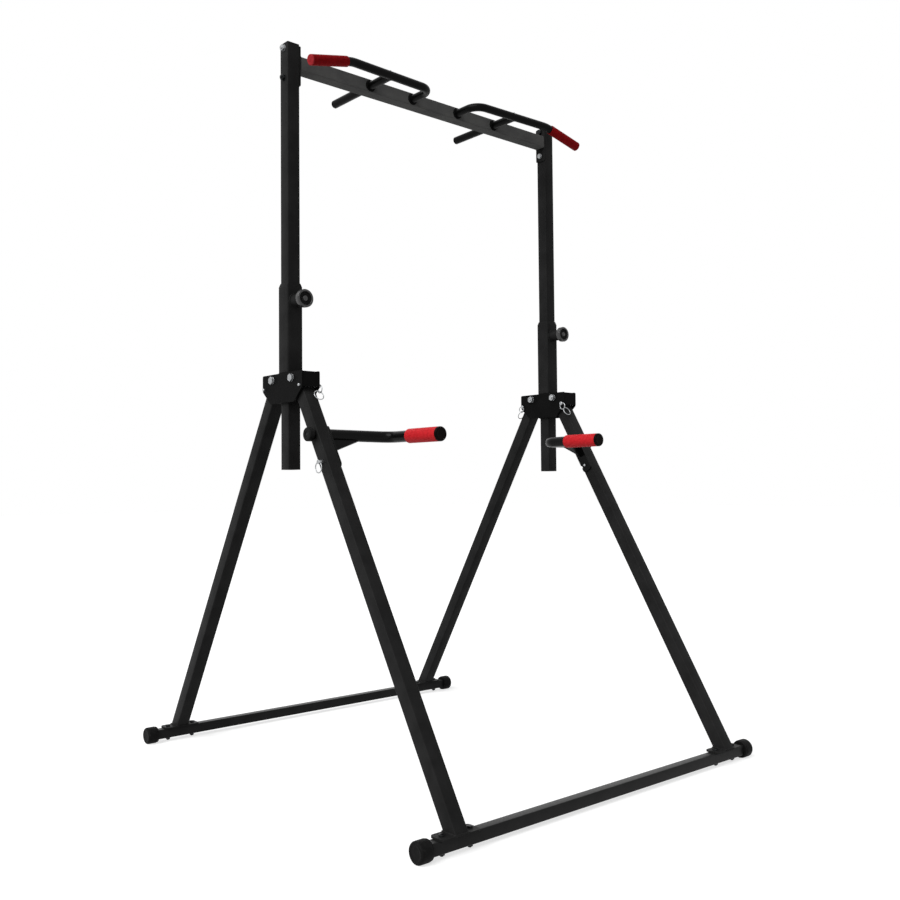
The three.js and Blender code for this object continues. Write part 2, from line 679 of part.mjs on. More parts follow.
// Crossbar with its end plates, bored for the two neutral grips
function crossbar() {
  const tube = squareTube(CROSSBAR_SIZE, CROSSBAR_WALL, 2 * CROSSBAR_HALF);
  tube.translate(0, 0, -CROSSBAR_HALF).rotateY(Math.PI / 2);
  const plateZ = END_PLATE_TOP - END_PLATE_HEIGHT / 2 - CROSSBAR_Z;
  const plates = SIDES.map(({ sign }) => block(
    END_PLATE,
    UPRIGHT_SIZE,
    END_PLATE_HEIGHT,
    sign * (CROSSBAR_HALF + END_PLATE / 2),
    0,
    plateZ,
  ));
  const holes = [];
  [0, END_BOLT_SPACING].forEach((drop) => {
    const hole = bar(boltHole(FRAME_BOLT), 'x', -POST_X, POST_X);
    holes.push(hole.translate(0, 0, END_BOLT_HIGH - drop - CROSSBAR_Z));
  });
  SIDES.forEach(({ sign }) => {
    const hole = bar(GRIP_TUBE + 2 * BORE_FIT, 'y', -CROSSBAR_SIZE, CROSSBAR_SIZE, TUBE_SIDES);
    holes.push(hole.translate(sign * NEUTRAL_X, 0, 0));
  });
  return cut(join(tube, ...plates), ...holes);
}

function crossbarBolt() {
  return boltAndNut(FRAME_BOLT, UPRIGHT_SIZE + END_PLATE + TOUCH);
}

// Where the wide grip's centre line runs, for the +X side
function wideGripLine(extra) {
  const corners = [
    new THREE.Vector3(GRIP_ROOT_X, -CROSSBAR_SIZE / 2 - TOUCH, 0),
    new THREE.Vector3(GRIP_ROOT_X, -GRIP_ROOT_REACH, 0),
    new THREE.Vector3(GRIP_SHOULDER_X, -GRIP_SHOULDER_REACH, -GRIP_SHOULDER_DROP),
    new THREE.Vector3(GRIP_END_X, -GRIP_END_REACH, -GRIP_END_DROP),
  ];
  return new BentLine(corners, [GRIP_ROOT_BEND, GRIP_SHOULDER_BEND], extra);
}

// Wide grip bent from one tube, with the neutral grip that runs back from it through the crossbar
function pullUpBar() {
  const outside = alongLine(wideGripLine(0), GRIP_TUBE);
  const inside = alongLine(wideGripLine(OVERRUN), GRIP_TUBE - 2 * GRIP_TUBE_WALL);
  const share = (NEUTRAL_X - GRIP_ROOT_X) / (GRIP_SHOULDER_X - GRIP_ROOT_X);
  const front = -GRIP_ROOT_REACH - share * (GRIP_SHOULDER_REACH - GRIP_ROOT_REACH);
  const neutral = bar(GRIP_TUBE, 'y', front, NEUTRAL_REACH, TUBE_SIDES).translate(NEUTRAL_X, 0, 0);
  const bore = bar(GRIP_TUBE - 2 * GRIP_TUBE_WALL, 'y', front, NEUTRAL_REACH + OVERRUN, TUBE_SIDES);
  bore.translate(NEUTRAL_X, 0, 0);
  return cut(join(outside, neutral), bore, inside);
}

// A foam sleeve that stands on z = 0 along z
function foamSleeve(tube, outside, length) {
  const body = bar(outside, 'z', 0, length, TUBE_SIDES);
  const bore = bar(overCorners(tube + 2 * TOUCH, TUBE_SIDES), 'z', -OVERRUN, length + OVERRUN, TUBE_SIDES);
  return cut(body, bore);
}

// A plug for a round tube: its flange stands on z = 0 and its stem goes down the bore
function tubePlug(tube, wall, flange) {
  const lid = bar(flange, 'z', TOUCH, TOUCH + TUBE_CAP, TUBE_SIDES);
  const stem = bar(tube - 2 * wall - 2 * TOUCH, 'z', -TUBE_PLUG, TOUCH + TUBE_CAP / 2, TUBE_SIDES);
  return join(lid, stem);
}

// Dip handle: plate on the leg, tube bent from the plate to the grip, and gusset, seen from its pivot
function dipLine(extra) {
  const root = DIP_PLATE_FACE - DIP_PLATE / 2;
  const end = DIP_REACH - DIP_PIVOT_Y - (DIP_CAP_LENGTH - DIP_CAP_SKIRT);
  const corners = [
    new THREE.Vector3(root, 0, 0),
    new THREE.Vector3(DIP_GRIP_X, -DIP_BEND_ADVANCE, -DIP_SAG),
    new THREE.Vector3(DIP_GRIP_X, -end, -DIP_SAG),
  ];
  return new BentLine(corners, [DIP_BEND], extra);
}

// The handle's plate lies along the leg and hooks over the lock pin from the front
function dipPlate() {
  const half = DIP_PLATE_WIDTH / 2;
  const corners = [
    [half, DIP_PLATE_ABOVE],
    [half, -DIP_PLATE_BELOW],
    [-half, -DIP_PLATE_BELOW],
    [-half, DIP_PLATE_ABOVE],
  ];
  const holes = [{ y: 0, z: 0, diameter: boltHole(FRAME_BOLT) }];
  const plate = sidePlate(corners, half / 2, DIP_PLATE, holes);
  const slot = new THREE.Shape();
  const room = RING_PIN / 2 + SLIDE;
  const sweep = 2 * Math.asin(half / DIP_PIN_ALONG);
  const down = -Math.PI / 2;
  slot.absarc(0, 0, DIP_PIN_ALONG + room, down, down + sweep);
  slot.absarc(0, 0, DIP_PIN_ALONG - room, down + sweep, down, true);
  const slotTool = new THREE.ExtrudeGeometry(slot, {
    depth: DIP_PLATE + 2 * OVERRUN,
    bevelEnabled: false,
    curveSegments: BEND_STEPS,
  });
  slotTool.rotateZ(Math.PI / 2);
  slotTool.rotateY(Math.PI / 2);
  slotTool.translate(-OVERRUN, 0, 0);
  const pinHole = bar(2 * room, 'x', -OVERRUN, DIP_PLATE + OVERRUN).translate(0, 0, -DIP_PIN_ALONG);
  const hooked = cut(plate, slotTool, pinHole).translate(DIP_PLATE_FACE - DIP_PLATE, 0, 0);
  return hooked.rotateX(-LEG_ANGLE);
}

// A triangle under the tube, from the handle's plate to the tube's first run
function dipGusset() {
  const root = new THREE.Vector3(DIP_PLATE_FACE - DIP_PLATE / 2, 0, 0);
  const bend = new THREE.Vector3(DIP_GRIP_X, -DIP_BEND_ADVANCE, -DIP_SAG);
  const along = bend.sub(root).normalize();
  const down = new THREE.Vector3(0, -Math.sin(LEG_ANGLE), -Math.cos(LEG_ANGLE));
  const normal = along.clone().cross(down).normalize();
  const square = normal.clone().cross(along).normalize();
  const depth = down.dot(square) * GUSSET_ALONG_LEG;
  const lean = down.dot(along) * GUSSET_ALONG_LEG;
  const outline = new THREE.Shape();
  outline.moveTo(0, 0);
  outline.lineTo(GUSSET_ALONG_TUBE, 0);
  outline.lineTo(GUSSET_ALONG_TUBE, DIP_TUBE / 2);
  outline.lineTo(lean, depth);
  outline.closePath();
  const web = new THREE.ExtrudeGeometry(outline, { depth: GUSSET, bevelEnabled: false });
  web.translate(0, 0, -GUSSET / 2);
  web.applyMatrix4(new THREE.Matrix4().makeBasis(along, square, normal));
  return web.translate(root.x, root.y, root.z);
}

function dipHandle() {
  const tube = alongLine(dipLine(0), DIP_TUBE);
  const bore = alongLine(dipLine(OVERRUN), DIP_TUBE - 2 * DIP_TUBE_WALL);
  const behind = block(DIP_TUBE, DIP_TUBE, DIP_TUBE, DIP_PLATE_FACE - DIP_PLATE + DIP_TUBE / 2, 0, 0);
  const legSide = behind.clone().translate(DIP_PLATE, 0, 0);
  const knobHole = bar(boltHole(FRAME_BOLT), 'x', DIP_PLATE_FACE - DIP_PLATE - OVERRUN, POST_X);
  return cut(join(tube, dipPlate(), dipGusset()), cut(bore, behind), legSide, knobHole);
}

// Rubber cap over the front end of a dip handle, along -Y from its open end at y = 0
function dipCap() {
  const radius = DIP_FOAM / 2;
  const points = [[0, 0], ...roundedEdge(radius, 0, DIP_CAP_ROUND), [radius, DIP_CAP_LENGTH], [0, DIP_CAP_LENGTH]];
  const body = turned(points, CAP_SIDES).rotateX(-Math.PI / 2).translate(0, -DIP_CAP_LENGTH, 0);
  const room = overCorners(DIP_TUBE + 2 * TOUCH, TUBE_SIDES);
  const socket = bar(room, 'y', -DIP_CAP_SKIRT - TOUCH, OVERRUN, TUBE_SIDES);
  return cut(body, socket);
}

// Round clamping knob on the outside of the leg, with its bolt going inward along -X
function dipKnob() {
  const radius = DIP_KNOB / 2;
  const back = [[0, 0], ...roundedEdge(radius, 0, DIP_KNOB_ROUND)];
  const front = roundedEdge(radius, 0, DIP_KNOB_ROUND).map(([r, h]) => [r, DIP_KNOB_LENGTH - h]);
  const points = [...back, ...front.reverse(), [0, DIP_KNOB_LENGTH]];
  const head = turned(points, KNOB_SIDES).rotateY(Math.PI / 2);
  const end = LEG_SIZE + 2 * TOUCH + DIP_PLATE + DIP_BOLT_REACH;
  const bolt = bar(FRAME_BOLT, 'x', -end, DIP_KNOB_LENGTH / 2);
  return join(head, bolt);
}

// The assembly
const station = new THREE.Group();

function addPiece(group, name, geometry, material, place = [0, 0, 0]) {
  const mesh = new THREE.Mesh(geometry, material);
  mesh.name = name;
  mesh.position.set(...place);
  group.add(mesh);
  return mesh;
}

function addHub() {
  const hub = new THREE.Group();
  hub.position.set(0, 0, HUB_BOTTOM);
  SIDES.forEach(({ name, sign }) => {
    const post = new THREE.Group();
    post.position.set(sign * POST_X, 0, 0);
    addPiece(post, `sleeve_${name}`, sleeve(), BLACK_PAINT);
    addPiece(post, `sleeve_guide_${name}`, sleeveGuide(), BLACK_PLASTIC, [0, 0, SLEEVE_LENGTH]);
    const bracket = mirrored(hubBracket(), sign, 1);
    addPiece(post, `hub_bracket_${name}`, bracket, BLACK_PAINT, [0, 0, HUB_HEIGHT]);
    ENDS.forEach((end) => {
      const place = [0, end.sign * PIVOT_REACH, HUB_HEIGHT - PIVOT_DROP];
      const bolt = mirrored(legPivotBolt(), -sign, 1);
      addPiece(post, `leg_pivot_bolt_${end.name}_${name}`, bolt, ZINC, place);
    });
    const knobPlace = [0, -SLEEVE_SIZE / 2, KNOB_HEIGHT - HUB_BOTTOM];
    addPiece(post, `knob_housing_${name}`, knobHousing(), BLACK_PAINT, knobPlace);
    addPiece(post, `plunger_spring_${name}`, plungerSpring(), ZINC, knobPlace);
    addPiece(post, `plunger_${name}`, plunger(), ZINC, knobPlace);
    addPiece(post, `pull_knob_${name}`, pullKnob(), BLACK_PLASTIC, knobPlace);
    hub.add(post);
  });
  station.add(hub);
}

// Ring pins through the hub brackets, just ahead of each leg, put in from the inner side
function addLegPins() {
  const headX = POST_X - SLEEVE_SIZE / 2 - HUB_PLATE - TOUCH;
  ENDS.forEach((end) => {
    SIDES.forEach(({ name, sign }) => {
      const pin = mirrored(legLockPin(), sign, end.sign);
      const place = [sign * headX, end.sign * LEG_PIN_Y, HUB_TOP - LEG_PIN_DROP];
      addPiece(station, `leg_lock_pin_${end.name}_${name}`, pin, ZINC, place);
    });
  });
}

function addLegFrame(end) {
  const frame = new THREE.Group();
  frame.position.set(0, end.sign * PIVOT_REACH, PIVOT_Z);
  SIDES.forEach(({ name, sign }) => {
    const legShape = mirrored(leg(end.sign < 0), sign, end.sign);
    addPiece(frame, `${end.name}_leg_${name}`, legShape, BLACK_PAINT, [sign * POST_X, 0, 0]);
    const cap = mirrored(endCap(), sign, 1);
    const capPlace = [(sign * BASE_WIDTH) / 2, end.sign * LEG_RUN, BASE_Z - PIVOT_Z];
    addPiece(frame, `${end.name}_end_cap_${name}`, cap, BLACK_RUBBER, capPlace);
  });
  const tubePlace = [0, end.sign * LEG_RUN, BASE_Z - PIVOT_Z];
  addPiece(frame, `${end.name}_base_tube`, baseTube(), BLACK_PAINT, tubePlace);
  station.add(frame);
}

function addDipHandles() {
  const group = new THREE.Group();
  group.position.set(0, -DIP_PIVOT_Y, DIP_HEIGHT);
  const capFront = DIP_PIVOT_Y - DIP_REACH;
  const foamFront = capFront + DIP_CAP_LENGTH + TOUCH;
  const pinY = -DIP_PIN_ALONG * Math.sin(LEG_ANGLE);
  const pinZ = -DIP_PIN_ALONG * Math.cos(LEG_ANGLE);
  const foamLength = dipLine(0).lastRun - DIP_BARE - DIP_CAP_SKIRT - TOUCH;
  SIDES.forEach(({ name, sign }) => {
    addPiece(group, `dip_handle_${name}`, mirrored(dipHandle(), sign, 1), BLACK_PAINT);
    const foam = foamSleeve(DIP_TUBE, DIP_FOAM, foamLength).rotateX(-Math.PI / 2);
    addPiece(group, `dip_grip_${name}`, foam, RED_FOAM, [sign * DIP_GRIP_X, foamFront, -DIP_SAG]);
    const capPlace = [sign * DIP_GRIP_X, capFront + DIP_CAP_LENGTH, -DIP_SAG];
    addPiece(group, `dip_end_cap_${name}`, dipCap(), BLACK_RUBBER, capPlace);
    const legFace = POST_X + LEG_SIZE / 2 + TOUCH;
    const knob = mirrored(dipKnob(), sign, 1);
    addPiece(group, `dip_pivot_knob_${name}`, knob, BLACK_PLASTIC, [sign * legFace, 0, 0]);
    const pin = mirrored(dipLockPin(), -sign, 1);
    addPiece(group, `dip_lock_pin_${name}`, pin, ZINC, [sign * legFace, pinY, pinZ]);
  });
  station.add(group);
}

function addUpperFrame() {
  const frame = new THREE.Group();
  frame.position.set(0, 0, CROSSBAR_Z);
  addPiece(frame, 'crossbar', crossbar(), BLACK_PAINT);
  const line = wideGripLine(0);
  const gripEnd = line.getPointAt(1);
  const outward = line.getTangentAt(1);
  const foamLength = line.lastRun - GRIP_BARE;
  SIDES.forEach(({ name, sign }) => {
    const postX = sign * POST_X;
    addPiece(frame, `upright_${name}`, upright(), BLACK_PAINT, [postX, 0, UPRIGHT_BOTTOM - CROSSBAR_Z]);
    addPiece(frame, `upright_cap_${name}`, uprightCap(), BLACK_PLASTIC, [postX, 0, FRAME_HEIGHT - CROSSBAR_Z]);
    [['upper', 0], ['lower', END_BOLT_SPACING]].forEach(([level, drop]) => {
      const bolt = mirrored(crossbarBolt(), sign, 1);
      const place = [sign * (CROSSBAR_HALF - TOUCH), 0, END_BOLT_HIGH - drop - CROSSBAR_Z];
      addPiece(frame, `crossbar_bolt_${level}_${name}`, bolt, ZINC, place);
    });
    addPiece(frame, `pull_up_bar_${name}`, mirrored(pullUpBar(), sign, 1), BLACK_PAINT);

    const turn = new THREE.Quaternion().setFromUnitVectors(new THREE.Vector3(0, 0, 1), outward);
    const foam = foamSleeve(GRIP_TUBE, GRIP_TUBE + 2 * FOAM_THICKNESS, foamLength);
    foam.translate(0, 0, -foamLength).applyQuaternion(turn).translate(...gripEnd.toArray());
    addPiece(frame, `pull_up_grip_${name}`, mirrored(foam, sign, 1), RED_FOAM);
    const plug = tubePlug(GRIP_TUBE, GRIP_TUBE_WALL, GRIP_TUBE + 2 * FOAM_THICKNESS);
    plug.applyQuaternion(turn).translate(...gripEnd.toArray());
    addPiece(frame, `pull_up_plug_${name}`, mirrored(plug, sign, 1), BLACK_PLASTIC);

    const rearPlug = tubePlug(GRIP_TUBE, GRIP_TUBE_WALL, GRIP_TUBE).rotateX(-Math.PI / 2);
    const rearPlace = [sign * NEUTRAL_X, NEUTRAL_REACH, 0];
    addPiece(frame, `neutral_grip_plug_${name}`, rearPlug, BLACK_PLASTIC, rearPlace);
  });
  station.add(frame);
}

addHub();
addLegPins();
ENDS.forEach(addLegFrame);
addDipHandles();
addUpperFrame();

export default station;
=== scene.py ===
# Folding dip station with a height-adjustable pull-up bar, finished piece by piece round the CAD frame.
# Metres, +Z up. -Y is the side to which the dip handles reach.
import math
import random

import bmesh
import bpy
from mathutils import Matrix, Vector


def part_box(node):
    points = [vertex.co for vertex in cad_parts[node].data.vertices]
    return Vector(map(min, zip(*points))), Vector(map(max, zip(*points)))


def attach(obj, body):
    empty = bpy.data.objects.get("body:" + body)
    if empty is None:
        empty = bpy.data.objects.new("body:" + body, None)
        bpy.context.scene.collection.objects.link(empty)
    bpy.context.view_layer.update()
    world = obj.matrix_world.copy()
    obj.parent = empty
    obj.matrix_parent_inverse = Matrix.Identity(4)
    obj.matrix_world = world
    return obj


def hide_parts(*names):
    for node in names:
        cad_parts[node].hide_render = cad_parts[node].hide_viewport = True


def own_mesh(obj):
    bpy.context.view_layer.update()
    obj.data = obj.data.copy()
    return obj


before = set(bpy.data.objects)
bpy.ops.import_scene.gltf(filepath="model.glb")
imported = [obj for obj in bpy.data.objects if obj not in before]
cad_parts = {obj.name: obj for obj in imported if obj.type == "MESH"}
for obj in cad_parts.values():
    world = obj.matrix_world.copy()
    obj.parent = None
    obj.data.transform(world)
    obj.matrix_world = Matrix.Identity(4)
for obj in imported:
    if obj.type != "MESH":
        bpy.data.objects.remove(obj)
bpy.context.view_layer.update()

MM = 0.001
X_AXIS, Y_AXIS, Z_AXIS = Vector((1, 0, 0)), Vector((0, 1, 0)), Vector((0, 0, 1))
SIDES = {"left": -1, "right": 1}
ENDS = {"front": -1, "rear": 1}

# Stock sizes that the frame's boxes don't give
TUBE_WALL = 2 * MM
BORE_FIT = 0.3 * MM
TOUCH = 0.3 * MM  # air left between pieces that meet
UPRIGHT_CORNER = 3.5 * MM
SLEEVE_CORNER = 5 * MM
GUIDE_FIT = 0.8 * MM
GUIDE_LIP = 1 * MM  # wall of a guide collar at its top
HUB_PLATE = 4 * MM
HUB_CORNER = 5 * MM
HUB_WAIST = 61 * MM  # post centre to the bracket's lower corner
HUB_WALL_INSET = 2 * MM

BASE_CORNER = 3.5 * MM
LEG_SIZE = 40 * MM
LEG_HEAD_INSET = 3 * MM  # top edge of the bracket to the flat top of a leg
LEG_OVERRUN = 60 * MM  # how far a leg's tube runs on before it is cut at a slant
PIVOT_TUBE = 18.6 * MM
FOOT_PLATE = 5 * MM
FOOT_PLATE_CORNER = 10 * MM
FOOT_PLATE_OVERHANG = 0.8 * MM
FOOT_BOLT_SPACING = 84 * MM
END_CAP_ROUND = 7 * MM
END_CAP_DISH = 1 * MM

PIVOT_BOLT = 12 * MM
FRAME_BOLT = 10 * MM
FOOT_BOLT = 8 * MM
RING_PIN = 8 * MM
RING_PIN_HEAD = 12 * MM
PIN_OVERRUN = 6 * MM  # how far a lock pin's tip stands out of what it locks
LEG_PIN_INSET = 11.2 * MM  # end of the bracket to the middle of a lock pin
LEG_PIN_HEAD_LENGTH = 7 * MM
DIP_PIN_HEAD_LENGTH = 16 * MM
LINK_RADIUS = 10.5 * MM
RING_RADIUS = 14.5 * MM
RING_WIRE = 2.8 * MM
RING_SWING = math.pi / 4

PLUNGER = 10 * MM
PLUNGER_STEM = 7 * MM
PLUNGER_COLLAR = 15 * MM
PLUNGER_COLLAR_LENGTH = 3 * MM
PLUNGER_COLLAR_FIT = 0.4 * MM
HOUSING = 36 * MM
HOUSING_FRONT_WALL = 5 * MM
SPRING_WIRE = 1.8 * MM
SPRING_TURNS = 6
KNOB_SEAT = 10 * MM  # how deep a stem sits in its pull knob
KNOB_DISH = 6 * MM

HOLE_PITCH = 50 * MM
HOLE_COUNT = 6
POST_CAP_DEPTH = 6 * MM
POST_CAP_ROUND = 0.4  # of the lid's thickness
END_PLATE = 4 * MM
END_PLATE_CORNER = 4 * MM

GRIP_TUBE = 25 * MM
GRIP_ROOT_X = 93 * MM
GRIP_ROOT_REACH = 112 * MM
GRIP_ROOT_BEND = 42 * MM
GRIP_SHOULDER_X = 398 * MM
GRIP_SHOULDER_REACH = 126 * MM
GRIP_SHOULDER_DROP = 2 * MM
GRIP_SHOULDER_BEND = 90 * MM
GRIP_END_X = 540 * MM
GRIP_END_REACH = 133 * MM
GRIP_END_DROP = 39 * MM
GRIP_SETBACK = 9 * MM  # end of the shoulder's bend to the foam
FOAM_THICKNESS = 2.5 * MM
PLUG_HEAD = 3 * MM
PLUG_DEPTH = 10 * MM
PLUG_NECK = GRIP_TUBE / 2 - 3 * MM  # radius of what sits in the tube

DIP_TUBE = 32 * MM
DIP_BEND = 42 * MM
DIP_BEND_ADVANCE = 42 * MM
DIP_CAP_ROUND = 4 * MM
DIP_CAP_SKIRT = 3 * MM
DIP_CAP_DISH = 0.6 * MM
DIP_PLATE = 5 * MM
DIP_PLATE_WIDTH = 36 * MM
DIP_PLATE_ROUND = 0.55  # of half its width
DIP_PLATE_ABOVE = 22 * MM
DIP_PLATE_BELOW = 108 * MM
DIP_PIN_ALONG = 87 * MM
DIP_KNOB_LENGTH = 22 * MM
DIP_KNOB_DISH = 2 * MM
DIP_BOLT_TIP = 1.5 * MM  # how far the clamping bolt ends inside its knob's face
PIN_SLOT_ROOM = 4.4 * MM  # half the width of the slot by which the plate hooks over its pin
GUSSET = 5 * MM
GUSSET_CORNER = 2 * MM
GUSSET_ALONG_TUBE = 92 * MM
GUSSET_ALONG_LEG = 55 * MM

# Weld beads
WELD_PITCH = 2.4 * MM
WELD_WIDTH = 5.5 * MM
NARROW_WELD = 4 * MM
WIDE_WELD = 9 * MM
WELD_OFFSET = 1 * MM  # a bead's middle line to the edge that it follows
WELD_UNEVENNESS = (0.88, 1.06)

# How finely round shapes are made
TUBE_STEPS = 40
KNOB_STEPS = 64
BOLT_STEPS = 28
WIRE_STEPS = 12
RING_STEPS = 24
CORNER_STEPS = 4
ROUND_STEPS = 5
LID_STEPS = 3
CHAMFER_STEPS = 2
BEND_STEP = math.radians(6)
SMOOTH_ANGLE = math.radians(32)
EDGE = 0.5 * MM  # the small round that punching, moulding or paint leaves on an edge
FINE_EDGE = 0.25 * MM
PARALLEL = 0.999  # cosine from which two directions count as the same
SAME_PLACE = 1e-7  # metres
SLIVER = 0.1 * MM  # what a cut leaves narrower than this is dissolved

SHADED_BOLTS = (("upper", "right"), ("lower", "left"))  # those two look dark in the photograph; their black zinc is painted shade

shuffle = random.Random(7)


def low(node):
    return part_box(node)[0]


def high(node):
    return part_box(node)[1]


def middle(node):
    return (low(node) + high(node)) / 2


def radius_of(node):
    return (high(node).z - low(node).z) / 2


# Places worked out from the frame
POST_X = middle("sleeve_right").x
SLEEVE_SIZE = high("sleeve_right").x - low("sleeve_right").x
SLEEVE_FACE = -SLEEVE_SIZE / 2
SLEEVE_TOP = high("sleeve_right").z
UPRIGHT_SIZE = high("upright_right").x - low("upright_right").x
HUB_BOTTOM = low("hub_bracket_right").z
HUB_TOP = high("hub_bracket_right").z
HUB_REACH = high("hub_bracket_right").y
KNOB_HEIGHT = middle("pull_knob_right").z

PIVOT_REACH = middle("leg_pivot_bolt_rear_right").y
PIVOT_Z = middle("leg_pivot_bolt_rear_right").z
BASE_Y = middle("rear_end_cap_right").y
BASE_Z = middle("rear_end_cap_right").z
BASE_SIZE = low("front_leg_right").z * 2 - BASE_Z * 2
FOOT_TOP = low("front_leg_right").z + FOOT_PLATE
LEG_RUN = BASE_Y - PIVOT_REACH
LEG_RISE = PIVOT_Z - FOOT_TOP
LEG_ANGLE = math.atan2(LEG_RUN, LEG_RISE)
LEG_LENGTH = math.hypot(LEG_RUN, LEG_RISE)
LEG_PIN_Y = HUB_REACH - LEG_PIN_INSET
LEG_PIN_Z = high("leg_lock_pin_rear_right").z - RING_PIN_HEAD / 2

CROSSBAR_Z = middle("neutral_grip_plug_right").z
NEUTRAL_X = middle("neutral_grip_plug_right").x
# Ends and corners of the right pull-up bar's straight runs
BAR_POINTS = [Vector((GRIP_ROOT_X, -UPRIGHT_SIZE / 2 - TOUCH, CROSSBAR_Z)),
              Vector((GRIP_ROOT_X, -GRIP_ROOT_REACH, CROSSBAR_Z)),
              Vector((GRIP_SHOULDER_X, -GRIP_SHOULDER_REACH, CROSSBAR_Z - GRIP_SHOULDER_DROP)),
              Vector((GRIP_END_X, -GRIP_END_REACH, CROSSBAR_Z - GRIP_END_DROP))]

DIP_PIVOT_Z = middle("dip_pivot_knob_right").z
DIP_PIVOT_Y = middle("dip_pivot_knob_right").y
DIP_PIVOT = (0, DIP_PIVOT_Y, DIP_PIVOT_Z)
DIP_GRIP_X = middle("dip_grip_right").x
DIP_GRIP_Z = middle("dip_grip_right").z
DIP_PLATE_FACE = POST_X - LEG_SIZE / 2 - TOUCH
LEG_OUTSIDE = POST_X + LEG_SIZE / 2 + TOUCH
# The same for the right dip handle, measured from its pivot in y and z
DIP_POINTS = [Vector((DIP_PLATE_FACE - DIP_PLATE, 0, 0)),
              Vector((DIP_GRIP_X, -DIP_BEND_ADVANCE, DIP_GRIP_Z - DIP_PIVOT_Z)),
              Vector((DIP_GRIP_X, low("dip_handle_right").y - DIP_PIVOT_Y, DIP_GRIP_Z - DIP_PIVOT_Z))]


# Mesh helpers

def placed(part, matrix):
    """Moves a part; a mirrored one keeps its faces pointing out."""
    bmesh.ops.transform(part, matrix=matrix, verts=part.verts)
    if matrix.determinant() < 0:
        bmesh.ops.reverse_faces(part, faces=part.faces)
    return part


def moved(part, x, y, z):
    return placed(part, Matrix.Translation((x, y, z)))


def rotated(part, angle, axis):
    return placed(part, Matrix.Rotation(angle, 4, axis))


def mirrored(part, sign_x, sign_y=1):
    return placed(part, Matrix.Diagonal((sign_x, sign_y, 1, 1)))


def facing(place, direction):
    """A matrix that stands the z axis along a direction, at a place."""
    return Matrix.Translation(place) @ Vector(direction).to_track_quat("Z", "Y").to_matrix().to_4x4()


def along(part, axis, place=(0, 0, 0)):
    """Lays a form that stands on the z axis along another direction, at a place."""
    return placed(part, facing(place, axis))


def joined(*parts):
    """One bmesh that holds all the parts."""
    whole = bmesh.new()
    for part in parts:
        mesh = bpy.data.meshes.new("part")
        part.to_mesh(mesh)
        part.free()
        whole.from_mesh(mesh)
        bpy.data.meshes.remove(mesh)
    return whole


def as_object(name, part):
    """Puts a part in the scene as an object."""
    mesh = bpy.data.meshes.new(name)
    part.to_mesh(mesh)
    part.free()
    item = bpy.data.objects.new(name, mesh)
    bpy.context.scene.collection.objects.link(item)
    return item


def outward(part):
    bmesh.ops.recalc_face_normals(part, faces=part.faces)
    return part


def verts_of(geom):
    return [item for item in geom if isinstance(item, bmesh.types.BMVert)]


def edges_of(geom):
    return [item for item in geom if isinstance(item, bmesh.types.BMEdge)]


def open_edges(part):
    return [e for e in part.edges if e.is_boundary]


def edges_along(part, axis):
    return [e for e in part.edges if abs((e.verts[1].co - e.verts[0].co).normalized().dot(axis)) > PARALLEL]


def end_faces(part):
    """The faces at the foot and the top of a part that stands upright."""
    return [f for f in part.faces if abs(f.normal.z) > PARALLEL]


def block(size_x, size_y, size_z, x=0, y=0, z=0):
    part = bmesh.new()
    matrix = Matrix.Translation((x, y, z)) @ Matrix.Diagonal((size_x, size_y, size_z, 1))
    bmesh.ops.create_cube(part, size=1, matrix=matrix)
    return part


def bevelled(part, edges, size, steps=CORNER_STEPS):
    bmesh.ops.bevel(part, geom=edges, offset=size, offset_type="OFFSET", affect="EDGES",
                    segments=steps, profile=0.5, material=-1)
    return part


def square_tube(size, corner, length):
    """A square tube with rounded corners that stands on z = 0."""
    part = block(size, size, length, z=length / 2)
    bevelled(part, edges_along(part, Z_AXIS), corner)
    ends = end_faces(part)
    bmesh.ops.inset_region(part, faces=ends, thickness=TUBE_WALL, use_even_offset=True)
    bmesh.ops.delete(part, geom=ends, context="FACES_ONLY")
    bmesh.ops.bridge_loops(part, edges=open_edges(part))
    return outward(part)


def sliced(part, height, upper):
    """Cuts a tube off level at a height, the upper or the lower end of it, and closes its wall there."""
    bmesh.ops.bisect_plane(part, geom=part.verts[:] + part.edges[:] + part.faces[:], dist=SAME_PLACE,
                           plane_co=(0, 0, height), plane_no=(0, 0, 1 if upper else -1), clear_outer=True)
    bmesh.ops.bridge_loops(part, edges=open_edges(part))
    return outward(part)


def outline(corners):
    """A flat face in the XZ plane from (x, z, round) corners, each rounded by its own size."""
    part = bmesh.new()
    verts = [part.verts.new((x, 0, z)) for x, z, _ in corners]
    part.faces.new(verts)
    for vert, (_, _, size) in zip(verts, corners):
        if size:
            bmesh.ops.bevel(part, geom=[vert], offset=size, offset_type="OFFSET", affect="VERTICES",
                            segments=ROUND_STEPS, profile=0.5, material=-1)
    return part


def thickened(part, vector):
    """Draws a flat face out along a vector into a solid."""
    made = bmesh.ops.extrude_face_region(part, geom=part.faces[:])
    bmesh.ops.translate(part, verts=verts_of(made["geom"]), vec=vector)
    return outward(part)


def plate(corners, thickness):
    """A flat plate in the XZ plane, as thick as asked from y = 0 towards +Y."""
    return thickened(outline(corners), (0, thickness, 0))


def side_plate(corners, thickness):
    """The same plate in the YZ plane, from x = 0 towards +X; its corners are (y, z, round)."""
    return placed(plate(corners, thickness), Matrix(((0, 1, 0, 0), (1, 0, 0, 0), (0, 0, 1, 0), (0, 0, 0, 1))))


